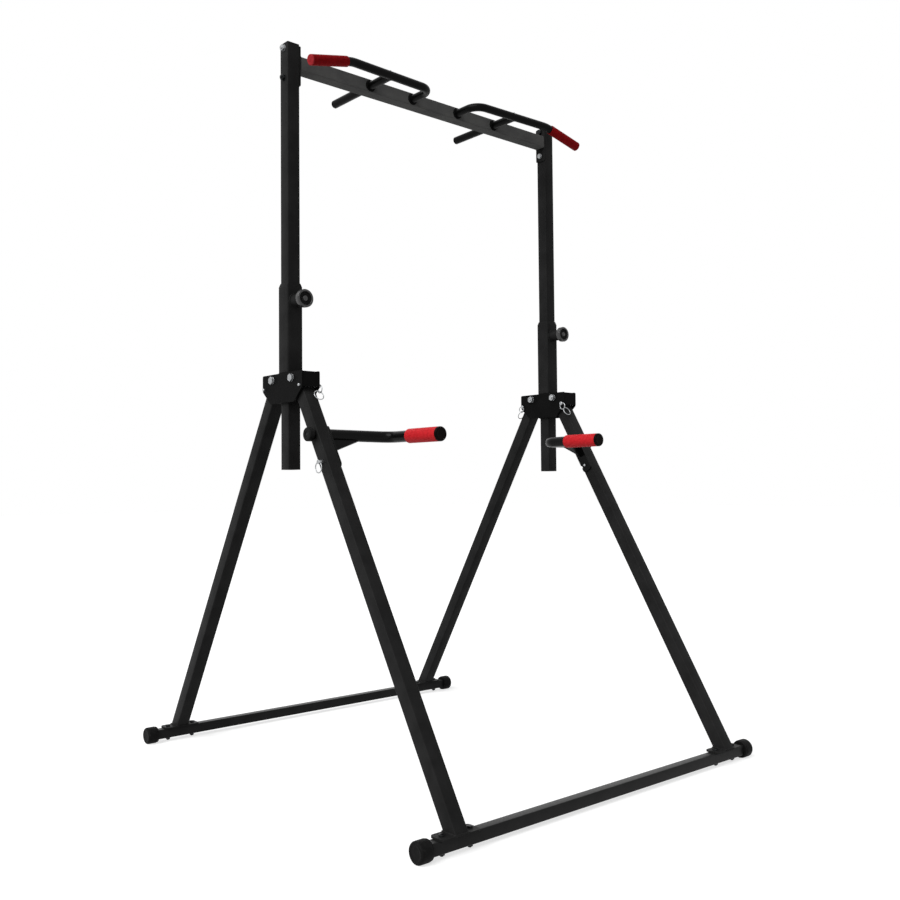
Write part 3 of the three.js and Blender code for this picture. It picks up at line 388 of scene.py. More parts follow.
def turned(corners, steps=KNOB_STEPS):
    """A form turned round the z axis from (radius, height, round) corners."""
    part = outline(corners)
    bmesh.ops.delete(part, geom=part.faces[:], context="FACES_ONLY")
    for edge in [e for e in part.edges if all(abs(v.co.x) < SAME_PLACE for v in e.verts)]:
        part.edges.remove(edge)
    bmesh.ops.spin(part, geom=part.verts[:] + part.edges[:], cent=(0, 0, 0), axis=Z_AXIS, dvec=(0, 0, 0),
                   angle=2 * math.pi, steps=steps, use_merge=True, use_duplicate=False)
    bmesh.ops.remove_doubles(part, verts=part.verts, dist=SAME_PLACE)
    return outward(part)


def drawn_out(part, ring, vector):
    """Extrudes an open ring of edges along a vector and returns the new ring."""
    made = bmesh.ops.extrude_edge_only(part, edges=ring)["geom"]
    verts = verts_of(made)
    bmesh.ops.translate(part, verts=verts, vec=vector)
    return [e for e in edges_of(made) if all(v in verts for v in e.verts)]


def bent_tube(points, radii, diameter):
    """A round bar along straight runs joined by bends."""
    part = bmesh.new()
    here = points[0]
    bmesh.ops.create_circle(part, cap_ends=False, radius=diameter / 2, segments=TUBE_STEPS,
                            matrix=facing(here, points[1] - points[0]))
    ring = part.edges[:]
    for before, corner, after, radius in zip(points, points[1:], points[2:], radii):
        into, out = (corner - before).normalized(), (after - corner).normalized()
        angle = into.angle(out)
        start = corner - into * radius * math.tan(angle / 2)
        axis = into.cross(out).normalized()
        ring = drawn_out(part, ring, start - here)
        geom = ring + list({v for e in ring for v in e.verts})
        made = bmesh.ops.spin(part, geom=geom, cent=start + axis.cross(into) * radius, axis=axis,
                              dvec=(0, 0, 0), angle=angle, steps=max(2, round(angle / BEND_STEP)),
                              use_merge=False, use_duplicate=False)
        ring = edges_of(made["geom_last"])
        here = corner + out * radius * math.tan(angle / 2)
    drawn_out(part, ring, points[-1] - here)
    bmesh.ops.holes_fill(part, edges=open_edges(part), sides=0)
    return outward(part)


def foam_sleeve(inner, outer, length):
    """A foam sleeve that stands on z = 0, its ends softly rounded."""
    soft = (outer - inner) * 0.42
    return turned([(inner, 0, 0), (outer, 0, soft), (outer, length, soft), (inner, length, 0)])


def wire_ring(radius, wire):
    """A ring of round wire round the x axis that hangs below the origin."""
    part = bmesh.new()
    bmesh.ops.create_circle(part, cap_ends=False, radius=wire / 2, segments=WIRE_STEPS,
                            matrix=facing((0, 0, radius), Y_AXIS))
    bmesh.ops.spin(part, geom=part.verts[:] + part.edges[:], cent=(0, 0, 0), axis=X_AXIS, dvec=(0, 0, 0),
                   angle=2 * math.pi, steps=BOLT_STEPS * 2, use_merge=True, use_duplicate=False)
    return moved(outward(part), 0, 0, -radius)


def coil(radius, wire, length, turns):
    """A coil spring along the y axis, from y = 0 to the length."""
    part = bmesh.new()
    bmesh.ops.create_circle(part, cap_ends=True, radius=wire / 2, segments=WIRE_STEPS,
                            matrix=facing((radius, wire / 2, 0), Z_AXIS))
    steps = turns * BOLT_STEPS
    bmesh.ops.spin(part, geom=part.verts[:] + part.edges[:] + part.faces[:], cent=(0, 0, 0), axis=-Y_AXIS,
                   dvec=(0, (length - wire) / steps, 0), angle=2 * math.pi * turns, steps=steps,
                   use_merge=False, use_duplicate=False)
    return outward(part)


def ring_points(centre, axis, radius):
    """Points on a circle, its first point again at its end."""
    spoke = Vector(axis).orthogonal().normalized() * radius
    turns = [Matrix.Rotation(2 * math.pi * i / RING_STEPS, 3, Vector(axis)) for i in range(RING_STEPS + 1)]
    return [Vector(centre) + turn @ spoke for turn in turns]


def rectangle_points(half_x, half_y):
    """The corners of a rectangle, its first corner again at its end."""
    return [(half_x, half_y), (-half_x, half_y), (-half_x, -half_y), (half_x, -half_y), (half_x, half_y)]


def weld_bead(points, width=WELD_WIDTH):
    """A row of overlapping drops of weld metal along a line of points."""
    part = bmesh.new()
    for start, end in zip(points, points[1:]):
        count = max(1, round((end - start).length / WELD_PITCH))
        for i in range(count):
            place = start.lerp(end, i / count)
            size = width / 2 * shuffle.uniform(*WELD_UNEVENNESS)
            bmesh.ops.create_uvsphere(part, u_segments=8, v_segments=5, radius=size,
                                      matrix=Matrix.Translation(place))
    return part


def hexagon(across, height):
    """A bolt's head or a nut that stands on z = 0, its upper edges chamfered."""
    part = bmesh.new()
    bmesh.ops.create_circle(part, cap_ends=True, radius=across / math.sqrt(3), segments=6)
    thickened(part, (0, 0, height))
    top = [e for e in part.edges if all(v.co.z > height / 2 for v in e.verts)]
    return bevelled(part, top, height * 0.12, CHAMFER_STEPS)


def bolt_and_nut(diameter, grip):
    """A hexagon bolt along x in stock proportions: its head sits on x = 0 and its nut on x = grip."""
    across, head_height, nut_height = diameter * 1.62, diameter * 0.6, diameter * 0.8
    washer, washer_radius = diameter * 0.1, across * 0.56
    tip, chamfer = grip + nut_height + diameter * 0.3, diameter * 0.08
    seats = ((head_height, -X_AXIS, 0), (nut_height, X_AXIS, grip))
    hexagons = [along(hexagon(across, height - washer), axis, (seat + axis.x * washer, 0, 0))
                for height, axis, seat in seats]
    shank = turned([(0, 0, 0), (diameter / 2, 0, 0), (diameter / 2, tip, chamfer), (0, tip, 0)], BOLT_STEPS)
    disc = [(0, 0, 0), (washer_radius, 0, 0), (washer_radius, washer, washer / 3), (0, washer, 0)]
    washers = [along(turned(disc, BOLT_STEPS), axis, (seat, 0, 0)) for _, axis, seat in seats]
    return joined(*hexagons, along(shank, X_AXIS), *washers)


def cut(part, tool):
    """The part less the tool, as a new bmesh."""
    blank, cutter = as_object("blank", part), as_object("cutter", tool)
    cutting = blank.modifiers.new("cut", "BOOLEAN")
    cutting.operation, cutting.solver, cutting.object = "DIFFERENCE", "EXACT", cutter
    result = bpy.data.meshes.new_from_object(blank.evaluated_get(bpy.context.evaluated_depsgraph_get()))
    left = bmesh.new()
    left.from_mesh(result)
    meshes = (blank.data, cutter.data, result)
    for item in (blank, cutter):
        bpy.data.objects.remove(item)
    for mesh in meshes:
        bpy.data.meshes.remove(mesh)
    return left


def bored(part, drills):
    """Cuts round holes, each given as a centre, an axis, a diameter and a length."""
    tool = bmesh.new()
    for centre, axis, diameter, length in drills:
        bmesh.ops.create_cone(tool, cap_ends=True, segments=BOLT_STEPS, radius1=diameter / 2,
                              radius2=diameter / 2, depth=length, matrix=facing(centre, axis))
    return cut(part, tool)


# Materials

NOISE_SPAN = (0.35, 0.65)  # the values between which nearly all of a noise lies
SCUFF_SPAN = (0.5, 0.75)
PORE_SPAN = (0, 0.6)


def colour(code):
    """Turns an sRGB hex colour into the linear values that the shader takes."""
    parts = [int(code[i:i + 2], 16) / 255 for i in (1, 3, 5)]
    return (*[c / 12.92 if c <= 0.04045 else ((c + 0.055) / 1.055) ** 2.4 for c in parts], 1)


def add(tree, kind, inputs=(), **settings):
    """A node with its settings; an input is a value, or the socket that it is linked to."""
    node = tree.nodes.new(kind)
    for name, value in settings.items():
        setattr(node, name, value)
    for socket, value in dict(inputs).items():
        if isinstance(value, bpy.types.NodeSocket):
            tree.links.new(value, node.inputs[socket])
        else:
            node.inputs[socket].default_value = value
    return node


def surface(name, even):
    """A material with one Principled shader and the values that are even all over it."""
    material = bpy.data.materials.new(name)
    material.use_nodes = True
    tree = material.node_tree
    shader = tree.nodes["Principled BSDF"]
    for socket, value in even.items():
        shader.inputs[socket].default_value = value
    return material, tree, shader


def varied(tree, shader, tint, gloss, relief):
    """Lets patterns blend two colours, spread the roughness and raise the surface.

    tint is a pattern, its span and the two colours, gloss a pattern, its span and the two roughnesses, and
    relief a pattern, the strength of its bump and its height.
    """
    pattern, span, base, light = tint
    share = add(tree, "ShaderNodeMapRange", {"Value": pattern, "From Min": span[0], "From Max": span[1]})
    blend = add(tree, "ShaderNodeMix", {0: share.outputs["Result"], 6: colour(base), 7: colour(light)},
                data_type="RGBA")
    tree.links.new(blend.outputs[2], shader.inputs["Base Color"])
    pattern, span, smooth, rough = gloss
    spread = add(tree, "ShaderNodeMapRange", {"Value": pattern, "From Min": span[0], "From Max": span[1],
                                              "To Min": smooth, "To Max": rough})
    tree.links.new(spread.outputs["Result"], shader.inputs["Roughness"])
    pattern, strength, height = relief
    bump = add(tree, "ShaderNodeBump", {"Height": pattern, "Strength": strength, "Distance": height})
    tree.links.new(bump.outputs["Normal"], shader.inputs["Normal"])


def powder_coat(name, dark, light, specular, roughness):
    """Polyester powder coat baked on steel: a closed film with a fine orange peel and a faint cloudiness."""
    material, tree, shader = surface(name, {"Metallic": 0, "IOR": 1.5, "Specular IOR Level": specular})
    place = add(tree, "ShaderNodeTexCoord").outputs["Object"]
    cloud = add(tree, "ShaderNodeTexNoise", {"Vector": place, "Scale": 1 / (60 * MM), "Detail": 3})
    peel = add(tree, "ShaderNodeTexNoise", {"Vector": place, "Scale": 1 / (1.6 * MM), "Detail": 1})
    varied(tree, shader, (cloud.outputs["Fac"], NOISE_SPAN, dark, light),
           (peel.outputs["Fac"], NOISE_SPAN, roughness - 0.05, roughness + 0.07),
           (peel.outputs["Fac"], 0.12, 0.1 * MM))
    return material


def moulded_rubber(name, base, mark, specular, roughness):
    """Moulded rubber or vinyl: near black and soft in its highlights, with faint paler scuffs."""
    material, tree, shader = surface(name, {"Metallic": 0, "IOR": 1.52, "Specular IOR Level": specular})
    place = add(tree, "ShaderNodeTexCoord").outputs["Object"]
    scuff = add(tree, "ShaderNodeTexNoise", {"Vector": place, "Scale": 1 / (9 * MM), "Detail": 4,
                                             "Roughness": 0.65})
    # A mould's sandblasted skin, drawn three times as coarse as it is, so that it shows
    skin = add(tree, "ShaderNodeTexNoise", {"Vector": place, "Scale": 1 / (0.9 * MM), "Detail": 2})
    varied(tree, shader, (scuff.outputs["Fac"], SCUFF_SPAN, base, mark),
           (scuff.outputs["Fac"], NOISE_SPAN, roughness, roughness + 0.15),
           (skin.outputs["Fac"], 0.15, 0.1 * MM))
    return material


def moulded_plastic(name, base, light, specular, roughness):
    """Injection-moulded nylon: black, with a fine spark-eroded grain that greys its highlights."""
    material, tree, shader = surface(name, {"Metallic": 0, "IOR": 1.53, "Specular IOR Level": specular})
    place = add(tree, "ShaderNodeTexCoord").outputs["Object"]
    # The grain is about 0.2 mm across on a real knob, and drawn coarser, so that it shows
    spark = add(tree, "ShaderNodeTexNoise", {"Vector": place, "Scale": 1 / (0.8 * MM), "Detail": 2})
    varied(tree, shader, (spark.outputs["Fac"], NOISE_SPAN, base, light),
           (spark.outputs["Fac"], NOISE_SPAN, roughness - 0.06, roughness + 0.08),
           (spark.outputs["Fac"], 0.2, 0.1 * MM))
    return material


def closed_cell_foam(name, deep, bright, specular):
    """Extruded nitrile foam with a moulded skin: matt, softly mottled, with tiny closed pores."""
    material, tree, shader = surface(name, {"Metallic": 0, "IOR": 1.45, "Specular IOR Level": specular})
    place = add(tree, "ShaderNodeTexCoord").outputs["Object"]
    mottle = add(tree, "ShaderNodeTexNoise", {"Vector": place, "Scale": 1 / (7 * MM), "Detail": 3})
    # Real pores are about 0.4 mm across, and drawn coarser, so that they show
    pores = add(tree, "ShaderNodeTexVoronoi", {"Vector": place, "Scale": 1 / (1.4 * MM)})
    varied(tree, shader, (mottle.outputs["Fac"], NOISE_SPAN, deep, bright),
           (pores.outputs["Distance"], PORE_SPAN, 0.5, 0.68),
           (pores.outputs["Distance"], 0.25, 0.15 * MM))
    return material


def zinc_plate(name, base, light, roughness):
    """Zinc plating on turned and stamped steel, bright or black: a little cloudy, with fine tool marks."""
    material, tree, shader = surface(name, {"Metallic": 1})
    place = add(tree, "ShaderNodeTexCoord").outputs["Object"]
    cloud = add(tree, "ShaderNodeTexNoise", {"Vector": place, "Scale": 1 / (5 * MM), "Detail": 4,
                                             "Roughness": 0.6})
    # Turning leaves marks about 0.1 mm apart, drawn coarser, so that they show
    marks = add(tree, "ShaderNodeTexNoise", {"Vector": place, "Scale": 1 / (0.7 * MM), "Detail": 2})
    varied(tree, shader, (cloud.outputs["Fac"], NOISE_SPAN, base, light),
           (cloud.outputs["Fac"], NOISE_SPAN, roughness - 0.06, roughness + 0.1),
           (marks.outputs["Fac"], 0.08, 0.1 * MM))
    return material


# Posts, sleeves, legs and end plates; base tubes; crossbar, paler than the rest as painted light; brackets
# and bar welds
frame_coat = powder_coat("satin_black_powder_coat", "#1b1b1b", "#232323", 0.04, 0.45)
base_coat = powder_coat("semi_gloss_black_powder_coat", "#171717", "#1f1f1f", 0.08, 0.34)
lit_crossbar_coat = powder_coat("lit_black_powder_coat", "#535353", "#5d5d5c", 0.01, 0.75)
matt_coat = powder_coat("matt_black_powder_coat", "#080808", "#0d0d0d", 0.03, 0.5)
# Pull-up bars; dip handles
bar_coat = powder_coat("deep_black_powder_coat", "#050505", "#0a0a0a", 0.05, 0.32)
handle_coat = powder_coat("gloss_black_powder_coat", "#050505", "#090909", 0.08, 0.22)
# Rubber feet; end caps of the dip handles; pull knobs; collars, caps, plugs and clamping knobs
foot_rubber = moulded_rubber("black_foot_rubber", "#111111", "#1e1e1e", 0.05, 0.5)
# Black vinyl; the faint red in its colours is painted reflection of the red foam beside the caps
cap_vinyl = moulded_rubber("gloss_black_cap_vinyl", "#0a0605", "#140b0a", 0.03, 0.3)
# Paler than the other nylon, partly as painted highlight on the knobs' rims and bosses
lit_knob_nylon = moulded_plastic("black_knob_nylon", "#2a2a2a", "#3a3a3a", 0.4, 0.28)
nylon = moulded_plastic("black_moulded_nylon", "#121212", "#1a1a1a", 0.04, 0.45)
# Grips of the dip handles; grips of the pull-up bars, drawn darker as painted shade, and their ends
grip_foam = closed_cell_foam("red_nitrile_foam", "#b4141c", "#c41d25", 0.22)
shaded_foam = closed_cell_foam("shaded_red_nitrile_foam", "#74060b", "#880a10", 0.06)
# Paler than the pull-up grips' foam, as painted highlight on their closed ends
lit_end_foam = closed_cell_foam("lit_red_nitrile_foam", "#942026", "#a52d33", 0.1)
# Bolts, pins, plungers and springs; foot and clamping bolts, and two crossbar bolts darkened as painted shade
zinc = zinc_plate("bright_zinc_plate", "#8f9193", "#b4b6b7", 0.34)
black_zinc = zinc_plate("black_zinc_plate", "#1c1d1e", "#2a2b2c", 0.4)


def piece(name, part, material, body, nodes, edge=EDGE):
    """Turns a part into a finished object that stands for its CAD nodes and moves with its body."""
    item = as_object(name, part)
    item.data.materials.append(material)
    item.data.shade_smooth()
    item.data.set_sharp_from_angle(angle=SMOOTH_ANGLE)
    if edge:
        rounding = item.modifiers.new("edge", "BEVEL")
        rounding.width, rounding.segments, rounding.limit_method = edge, 2, "ANGLE"
        rounding.angle_limit, rounding.harden_normals = SMOOTH_ANGLE, True
        rounding.miter_outer = "MITER_ARC"
    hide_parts(*nodes)
    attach(item, body)
    return item


# Pieces fixed to each post

def make_sleeve(side, sign):
    height = SLEEVE_TOP - HUB_BOTTOM
    tube = moved(square_tube(SLEEVE_SIZE, SLEEVE_CORNER, height), POST_X, 0, HUB_BOTTOM)
    hole = (Vector((POST_X, SLEEVE_FACE, KNOB_HEIGHT)), Y_AXIS, PLUNGER + 2 * BORE_FIT, SLEEVE_CORNER * 2)
    tube = mirrored(bored(tube, [hole]), sign)
    piece(f"sleeve_tube_{side}", tube, frame_coat, "hub", [f"sleeve_{side}"], FINE_EDGE)


def make_sleeve_guide(side, sign):
    """The collar on a sleeve's mouth, which tapers to a thin lip round the upright."""
    node = f"sleeve_guide_{side}"
    height = high(node).z - SLEEVE_TOP
    bore = UPRIGHT_SIZE + GUIDE_FIT
    top = bore + 2 * GUIDE_LIP
    part = block(SLEEVE_SIZE, SLEEVE_SIZE, height, z=height / 2)
    upper = [v for v in part.verts if v.co.z > height / 2]
    bmesh.ops.scale(part, vec=(top / SLEEVE_SIZE, top / SLEEVE_SIZE, 1), verts=upper)
    corners = [e for e in part.edges if abs(e.verts[0].co.z - e.verts[1].co.z) > height / 2]
    bevelled(part, corners, UPRIGHT_CORNER)
    ends = end_faces(part)
    for face in ends:
        wall = ((SLEEVE_SIZE if face.normal.z < 0 else top) - bore) / 2
        bmesh.ops.inset_region(part, faces=[face], thickness=wall, use_even_offset=True)
    bmesh.ops.delete(part, geom=ends, context="FACES_ONLY")
    bmesh.ops.bridge_loops(part, edges=open_edges(part))
    moved(outward(part), sign * POST_X, 0, SLEEVE_TOP)
    piece(f"guide_collar_{side}", part, nylon, "hub", [node], FINE_EDGE)


def make_hub_bracket(side, sign):
    node = f"hub_bracket_{side}"
    drop = HUB_TOP - HUB_BOTTOM
    wing = HUB_TOP - LEG_PIN_Z + RING_PIN_HEAD / 2
    corners = [(HUB_REACH, 0), (HUB_REACH, -wing), (HUB_WAIST, -drop),
               (-HUB_WAIST, -drop), (-HUB_REACH, -wing), (-HUB_REACH, 0)]
    rounded = [(y, z, HUB_CORNER) for y, z in corners]
    parts = []
    for x in (-SLEEVE_SIZE / 2 - HUB_PLATE, SLEEVE_SIZE / 2):
        cheek = moved(side_plate(rounded, HUB_PLATE), x, 0, 0)
        drills = [(Vector((x, end * LEG_PIN_Y, LEG_PIN_Z - HUB_TOP)), X_AXIS, RING_PIN + 2 * BORE_FIT,
                   4 * HUB_PLATE) for end in ENDS.values()]
        parts.append(bored(cheek, drills))
    for end in ENDS.values():
        parts.append(block(SLEEVE_SIZE + HUB_PLATE, HUB_PLATE, wing - 2 * HUB_WALL_INSET,
                           y=end * (HUB_REACH - HUB_PLATE / 2), z=-wing / 2))
    whole = moved(joined(*parts), POST_X, 0, HUB_TOP)
    piece(f"hub_cheeks_{side}", mirrored(whole, sign), matt_coat, "hub", [node])

    reach = SLEEVE_SIZE / 2 - SLEEVE_CORNER
    beads = [weld_bead([Vector((POST_X + face * (SLEEVE_SIZE / 2 + WELD_OFFSET), y, HUB_TOP))
                        for y in (-reach, reach)]) for face in (-1, 1)]
    piece(f"hub_weld_{side}", mirrored(joined(*beads), sign), matt_coat, "hub", [node], 0)


def make_pivot_bolt(side, sign, end, end_sign):
    node = f"leg_pivot_bolt_{end}_{side}"
    grip = SLEEVE_SIZE + 2 * HUB_PLATE + 2 * TOUCH
    bolt = moved(bolt_and_nut(PIVOT_BOLT, grip), -grip / 2, 0, 0)
    mirrored(bolt, -sign)
    moved(bolt, sign * POST_X, end_sign * PIVOT_REACH, PIVOT_Z)
    piece(f"pivot_bolt_{end}_{side}", bolt, zinc, "hub", [node], 0)


# The spring-loaded knob on each sleeve; profiles are (radius, distance in front of the sleeve, round)

def knob_place(sign):
    return (sign * POST_X, SLEEVE_FACE, KNOB_HEIGHT)


def make_knob_housing(side, sign):
    node = f"knob_housing_{side}"
    place = knob_place(sign)
    length = SLEEVE_FACE - low(node).y
    bore, stem = PLUNGER_COLLAR / 2 + PLUNGER_COLLAR_FIT, PLUNGER_STEM / 2 + BORE_FIT
    housing = turned([(bore, 0, 0), (HOUSING / 2, 0, 0), (HOUSING / 2, length, 2 * MM), (stem, length, 0),
                      (stem, length - HOUSING_FRONT_WALL, 0), (bore, length - HOUSING_FRONT_WALL, 0)])
    bead = weld_bead(ring_points((0, 0, 0), Z_AXIS, HOUSING / 2 + WELD_OFFSET))
    along(housing, -Y_AXIS, place)
    piece(f"plunger_housing_{side}", housing, frame_coat, "hub", [node], FINE_EDGE)
    along(bead, -Y_AXIS, place)
    piece(f"housing_weld_{side}", bead, frame_coat, "hub", [node], 0)


def make_plunger(side, sign):
    """The plunger and its spring, drawn at rest; pulling the knob would squash the spring."""
    place = knob_place(sign)
    spring_low, spring_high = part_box(f"plunger_spring_{side}")
    rest = spring_high.y - spring_low.y
    spring = coil(PLUNGER_COLLAR / 2 - SPRING_WIRE, SPRING_WIRE, rest, SPRING_TURNS)
    moved(spring, place[0], spring_low.y, place[2])
    item = piece(f"coil_spring_{side}", spring, zinc, "hub", [f"plunger_spring_{side}"], 0)
    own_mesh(item)

    node, body = f"plunger_{side}", f"height_knob_{side}"
    tip, end = high(node).y - SLEEVE_FACE, SLEEVE_FACE - low(node).y
    collar = TOUCH + PLUNGER_COLLAR_LENGTH
    rod = turned([(0, -tip, 0), (PLUNGER / 2, -tip, MM), (PLUNGER / 2, TOUCH, 0),
                  (PLUNGER_COLLAR / 2, TOUCH, 0), (PLUNGER_COLLAR / 2, collar, 0),
                  (PLUNGER_STEM / 2, collar, 0), (PLUNGER_STEM / 2, end, 0), (0, end, 0)], BOLT_STEPS)
    piece(f"plunger_rod_{side}", along(rod, -Y_AXIS, place), zinc, body, [node], FINE_EDGE)


def make_pull_knob(side, sign):
    """The knob, paler in part as painted highlight, dished round a boss in its face, and a dark lining in the
    dish that is painted shade.
    """
    node, body = f"pull_knob_{side}", f"height_knob_{side}"
    place = knob_place(sign)
    back, front = SLEEVE_FACE - high(node).y, SLEEVE_FACE - low(node).y
    radius = radius_of(node)
    socket, seat, floor = PLUNGER_STEM / 2 + TOUCH, back + KNOB_SEAT, front - KNOB_DISH
    knob = turned([(socket, back, 0), (radius * 0.55, back, MM), (radius * 0.62, back + 4 * MM, 2 * MM),
                   (radius, back + 7 * MM, 3 * MM), (radius, front, 3 * MM), (radius * 0.76, front, 1.5 * MM),
                   (radius * 0.72, floor, MM), (radius * 0.32, floor, MM),
                   (radius * 0.28, front - MM, 1.5 * MM), (0, front - 0.4 * MM, 0), (0, seat, 0),
                   (socket, seat, 0)])
    # A dark sheet lining the dish: painted shade
    dish_shade = turned([(radius * 0.34, floor - MM, 0), (radius * 0.715, floor - MM, 0),
                    (radius * 0.735, floor + 3.2 * MM, 0.6 * MM), (radius * 0.68, floor + 3.2 * MM, 0.4 * MM),
                    (radius * 0.64, floor + 0.8 * MM, 0.8 * MM), (radius * 0.34, floor + 0.8 * MM, 0.3 * MM)])
    along(dish_shade, -Y_AXIS, place)
    piece(f"pull_knob_{side}_inlay", dish_shade, nylon, body, [node], 0)
    along(knob, -Y_AXIS, place)
    piece(f"pull_knob_{side}_moulding", knob, lit_knob_nylon, body, [node], 0)


# Ring pins

def ring_pin(length, head_length):
    """A ring pin along x: its head's seat is at x = 0 and its shank runs to x = length."""
    head = turned([(0, 0, 0), (RING_PIN_HEAD / 2, 0, 0.6 * MM), (RING_PIN_HEAD / 2, head_length, 1.5 * MM),
                   (0, head_length, 0)], BOLT_STEPS)
    shank = turned([(0, -MM, 0), (RING_PIN / 2, -MM, 0), (RING_PIN / 2, length, 2 * MM), (0, length, 0)],
                   BOLT_STEPS)
    return joined(along(head, -X_AXIS), along(shank, X_AXIS))


def make_leg_pin(side, sign, end, end_sign):
    node = f"leg_lock_pin_{end}_{side}"
    length = SLEEVE_SIZE + 2 * HUB_PLATE + TOUCH + PIN_OVERRUN
    ring = wire_ring(RING_RADIUS, RING_WIRE)
    rotated(ring, math.pi / 2, Z_AXIS)
    rotated(ring, -RING_SWING, Y_AXIS)
    moved(ring, 0, 0, -2 * LINK_RADIUS)
    hanging = joined(wire_ring(LINK_RADIUS, RING_WIRE), ring)
    rotated(hanging, LEG_ANGLE, X_AXIS)
    moved(hanging, -LEG_PIN_HEAD_LENGTH / 2, 0, 0)
    pin = mirrored(joined(ring_pin(length, LEG_PIN_HEAD_LENGTH), hanging), sign, end_sign)
    moved(pin, sign * (POST_X - SLEEVE_SIZE / 2 - HUB_PLATE - TOUCH), end_sign * LEG_PIN_Y, LEG_PIN_Z)
    piece(f"leg_ring_pin_{end}_{side}", pin, zinc, f"leg_pin_{end}_{side}", [node], 0)


# Leg frames

def make_leg(side, sign, end, end_sign):
    """A leg, built from its pivot: cut level at both ends, with its pivot tube and foot plate."""
    node = f"{end}_leg_{side}"
    body = f"{end}_legs"
    tube = square_tube(LEG_SIZE, UPRIGHT_CORNER, LEG_LENGTH + 2 * LEG_OVERRUN)
    moved(tube, 0, 0, -LEG_LENGTH - LEG_OVERRUN)
    if end == "front":
        dip_along = (PIVOT_Z - DIP_PIVOT_Z) / math.cos(LEG_ANGLE)
        tube = bored(tube, [
            (Vector((0, 0, -dip_along)), X_AXIS, FRAME_BOLT + 2 * BORE_FIT, 2 * LEG_SIZE),
            (Vector((0, 0, -dip_along - DIP_PIN_ALONG)), X_AXIS, RING_PIN + 2 * BORE_FIT, 2 * LEG_SIZE),
        ])
    rotated(tube, LEG_ANGLE, X_AXIS)
    sliced(tube, HUB_TOP - LEG_HEAD_INSET - PIVOT_Z, True)
    sliced(tube, -LEG_RISE, False)
    reach, bore = SLEEVE_SIZE / 2 - TOUCH, PIVOT_BOLT / 2 + BORE_FIT
    boss = turned([(bore, -reach, 0), (PIVOT_TUBE / 2, -reach, 0), (PIVOT_TUBE / 2, reach, 0),
                   (bore, reach, 0)], BOLT_STEPS)
    leg = joined(tube, along(boss, X_AXIS))

    across, deep = LEG_SIZE / 2, LEG_SIZE / 2 / math.cos(LEG_ANGLE)
    length, width = (high(node).x - low(node).x) / 2, deep + FOOT_PLATE_OVERHANG
    foot = plate([(x, y, FOOT_PLATE_CORNER) for x, y in rectangle_points(length, width)[:-1]], FOOT_PLATE)
    rotated(foot, math.pi / 2, X_AXIS)
    moved(foot, 0, LEG_RUN, -LEG_RISE - FOOT_PLATE)
    bead = weld_bead([Vector((x, LEG_RUN + y, -LEG_RISE)) for x, y in rectangle_points(across, deep)])
    for name, part, edge in ((f"{end}_leg_{side}_steel", joined(leg, foot), FINE_EDGE),
                             (f"{end}_foot_weld_{side}", bead, 0)):
        mirrored(part, sign, end_sign)
        moved(part, sign * POST_X, end_sign * PIVOT_REACH, PIVOT_Z)
        piece(name, part, frame_coat, body, [node], edge)


def make_base(end, end_sign):
    node, body = f"{end}_base_tube", f"{end}_legs"
    start, stop = low(node).x, high(node).x
    tube = square_tube(BASE_SIZE, BASE_CORNER, stop - start)
    rotated(tube, math.pi / 2, Y_AXIS)
    moved(tube, start, end_sign * BASE_Y, BASE_Z)
    piece(f"{end}_base_tube_steel", tube, base_coat, body, [node], FINE_EDGE)
    bolts = []
    seat = BASE_Z + BASE_SIZE / 2 + FOOT_PLATE
    for sign in SIDES.values():
        for row in (-1, 1):
            bolt = rotated(bolt_and_nut(FOOT_BOLT, BASE_SIZE + FOOT_PLATE), math.pi / 2, Y_AXIS)
            bolts.append(moved(bolt, sign * POST_X + row * FOOT_BOLT_SPACING / 2, end_sign * BASE_Y, seat))
    piece(f"{end}_foot_bolts", joined(*bolts), black_zinc, body, [node], 0)


def make_end_cap(side, sign, end):
    """A round rubber foot, dished in its face, with a groove before its lip."""
    node = f"{end}_end_cap_{side}"
    radius = radius_of(node)
    length = high(node).x - low(node).x
    place = middle(node)
    place.x += sign * length / 2
    cap = turned([(0, END_CAP_DISH, 0), (radius * 0.62, END_CAP_DISH, MM), (radius * 0.7, 0, 2 * MM),
                  (radius, 0, END_CAP_ROUND), (radius, length - 6 * MM, 0.6 * MM),
                  (radius - 1.2 * MM, length - 5 * MM, 0.6 * MM), (radius - 1.2 * MM, length, 1.5 * MM),
                  (0, length, 0)])
    along(cap, -sign * X_AXIS, place)
    piece(f"{end}_rubber_foot_{side}", cap, foot_rubber, f"{end}_legs", [node], 0)


# Upper frame

